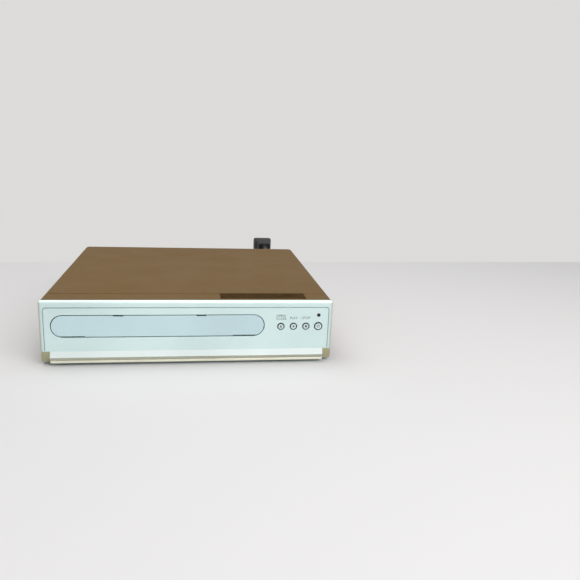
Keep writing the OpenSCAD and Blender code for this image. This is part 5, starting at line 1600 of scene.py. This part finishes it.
# Phono sockets: the front plane and the profiles, then each one's x, row and insert
JACK_Y = 102
JACK_ROWS = {"lower": 19.5, "upper": 33.5}
JACKS = (("video_lower", -86, "lower", "yellow"), ("video_upper", -86, "upper", "yellow"),
         ("left_lower", -72, "lower", "white"), ("left_upper", -72, "upper", "white"),
         ("right_lower", -58, "lower", "red"), ("right_upper", -58, "upper", "red"),
         ("digital_out", -41, "lower", "orange"))
SHELL_STEPS = ((0.3, 3.65), (18.6, 3.65), (18.9, 3.72), (19, 3.9), (18.85, 4.05), (18.5, 4.15),
               (9.8, 4.15), (9.6, 4.35), (0.05, 4.35), (0, 4.3))
INSERT_STEPS = ((0.35, 3.4), (0.5, 3.6), (12.6, 3.6), (12.7, 3.5), (16.9, 3.5), (17.0, 3.6),
                (18.2, 3.6), (18.5, 3.3), (18.5, 1.9), (18.2, 1.62), (6.2, 1.62))


class PLAYER_OT_sockets(bpy.types.Operator):
    """Turns one phono socket and copies it to the other places, with coloured inserts."""

    bl_idname = "player.sockets"
    bl_label = "Rear sockets"

    def execute(self, context):
        small = context.scene.player_sizes.small_round
        soften(((node, "case", "part_black", "socket_black", small)
                for node in ("jack_block", "video_socket")))
        _, x, row, _ = JACKS[0]
        start = (x, JACK_Y, JACK_ROWS[row])
        shell = turned("shell", start, BACK, SHELL_STEPS, 56)
        insert = turned("insert", start, BACK, INSERT_STEPS, 56)
        for name, new_x, new_row, tint in JACKS:
            step = (new_x - x, 0, JACK_ROWS[new_row] - JACK_ROWS[row])
            hand_over(copy_of(shell, f"{name}_shell", step), "case", "jack_nickel", "nickel",
                      "jack_shells")
            hand_over(copy_of(insert, f"{name}_insert", step), "case", "collar_plastic",
                      f"insert_{tint}", "jack_collars")
        for piece in (shell, insert):
            bpy.data.objects.remove(piece)
        return {"FINISHED"}


class PLAYER_OT_stage(bpy.types.Operator):
    """Lays the pale table, hangs the soft lamps and lights the room."""

    bl_idname = "player.stage"
    bl_label = "Stage"

    def execute(self, context):
        self.lay_table()
        self.hang_lamps()
        self.light_room(context.scene)
        context.scene.view_settings.view_transform = "Standard"
        return {"FINISHED"}

    def lay_table(self):
        """A pale table that passes into the wall's tone behind its rear edge and far off."""
        deselect()
        bpy.ops.mesh.primitive_plane_add(size=TABLE_SIZE, location=TABLE_MIDDLE)
        floor = named("table")
        material = bpy.data.materials.new("pale_table")
        material.use_nodes = True
        tree = material.node_tree
        shader = tree.nodes["Principled BSDF"]
        where = put(tree, "ShaderNodeTexCoord").outputs["Object"]
        turn = put(tree, "ShaderNodeMapping", {"Vector": where, "Rotation": (0, 0, TABLE_TURN)})
        parts = put(tree, "ShaderNodeSeparateXYZ", {0: turn.outputs["Vector"]})
        far = spread_range(tree, parts.outputs["Y"], *TABLE_EDGE)
        for key, value in (("Roughness", 0.75), ("Specular IOR Level", 0.2),
                           ("Base Color", blend_colour(tree, far, TABLE, WALL))):
            feed(tree, shader.inputs[key], value)
        reach = put(tree, "ShaderNodeVectorMath", {0: where}, operation="LENGTH")
        away = spread_range(tree, reach.outputs["Value"], *TABLE_FADE)
        shown = times(tree, maths(tree, "MAXIMUM", far, away), seen_directly(tree))
        plain = put(tree, "ShaderNodeEmission", {"Color": (*WALL, 1), "Strength": 1.0})
        blend_shader(tree, shown, shader, plain, tree.nodes["Material Output"])
        floor.data.materials.append(material)

    def hang_lamps(self):
        """Square soft lamps, each turned to its aim."""
        for name, place, look, size, power in LAMPS:
            deselect()
            bpy.ops.object.light_add(type="AREA", location=place)
            lamp = bpy.context.object
            lamp.name = name
            lamp.data.size = size
            lamp.data.energy = power
            lamp.rotation_euler = aim(Vector(place) - Vector(look))

    def light_room(self, scene):
        """A weak even light, with the wall's tone where the room itself is seen."""
        room = bpy.data.worlds.new("room")
        scene.world = room
        room.use_nodes = True
        tree = room.node_tree
        tree.nodes.clear()
        lit = put(tree, "ShaderNodeBackground", {"Color": (1, 1, 1, 1), "Strength": ROOM_LIGHT})
        shown = put(tree, "ShaderNodeBackground", {"Color": (*WALL, 1), "Strength": 1.0})
        blend_shader(tree, seen_directly(tree), lit, shown, put(tree, "ShaderNodeOutputWorld"))


ORDER = (
    PLAYER_OT_camera, PLAYER_OT_finishes, PLAYER_OT_mains_lead, PLAYER_OT_front_bezel,
    PLAYER_OT_tray_door, PLAYER_OT_buttons, PLAYER_OT_top_cover, PLAYER_OT_screws,
    PLAYER_OT_feet, PLAYER_OT_chassis, PLAYER_OT_disc_tray, PLAYER_OT_loader,
    PLAYER_OT_traverse, PLAYER_OT_boards, PLAYER_OT_sockets, PLAYER_OT_stage,
)


class PLAYER_PT_sidebar(bpy.types.Panel):
    """Lists the player's sizes, colours and pieces."""

    bl_idname = "PLAYER_PT_sidebar"
    bl_label = "Disc Player"
    bl_space_type = "VIEW_3D"
    bl_region_type = "UI"
    bl_category = "Disc Player"

    def draw(self, context):
        layout = self.layout
        for title, group in (("Sizes", context.scene.player_sizes),
                             ("Colours", context.scene.player_colours)):
            box = layout.box()
            box.label(text=title)
            for key in group.__annotations__:
                box.prop(group, key)
        for step in ORDER:
            layout.operator(step.bl_idname)


CLASSES = (PlayerSizes, PlayerColours, *ORDER, PLAYER_PT_sidebar)


def register():
    """Registers the classes and hangs their settings on the scene."""
    for kind in CLASSES:
        bpy.utils.register_class(kind)
    bpy.types.Scene.player_sizes = bpy.props.PointerProperty(type=PlayerSizes)
    bpy.types.Scene.player_colours = bpy.props.PointerProperty(type=PlayerColours)


def unregister():
    """Takes the settings and the classes away again."""
    del bpy.types.Scene.player_colours
    del bpy.types.Scene.player_sizes
    for kind in reversed(CLASSES):
        bpy.utils.unregister_class(kind)


def main():
    """Builds the whole player in order."""
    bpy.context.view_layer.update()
    register()
    for step in ORDER:
        if getattr(bpy.ops.player, step.bl_idname.split(".")[1])() != {"FINISHED"}:
            raise RuntimeError(f"{step.bl_label} did not finish")
    bpy.context.view_layer.update()


if __name__ == "__main__":
    main()
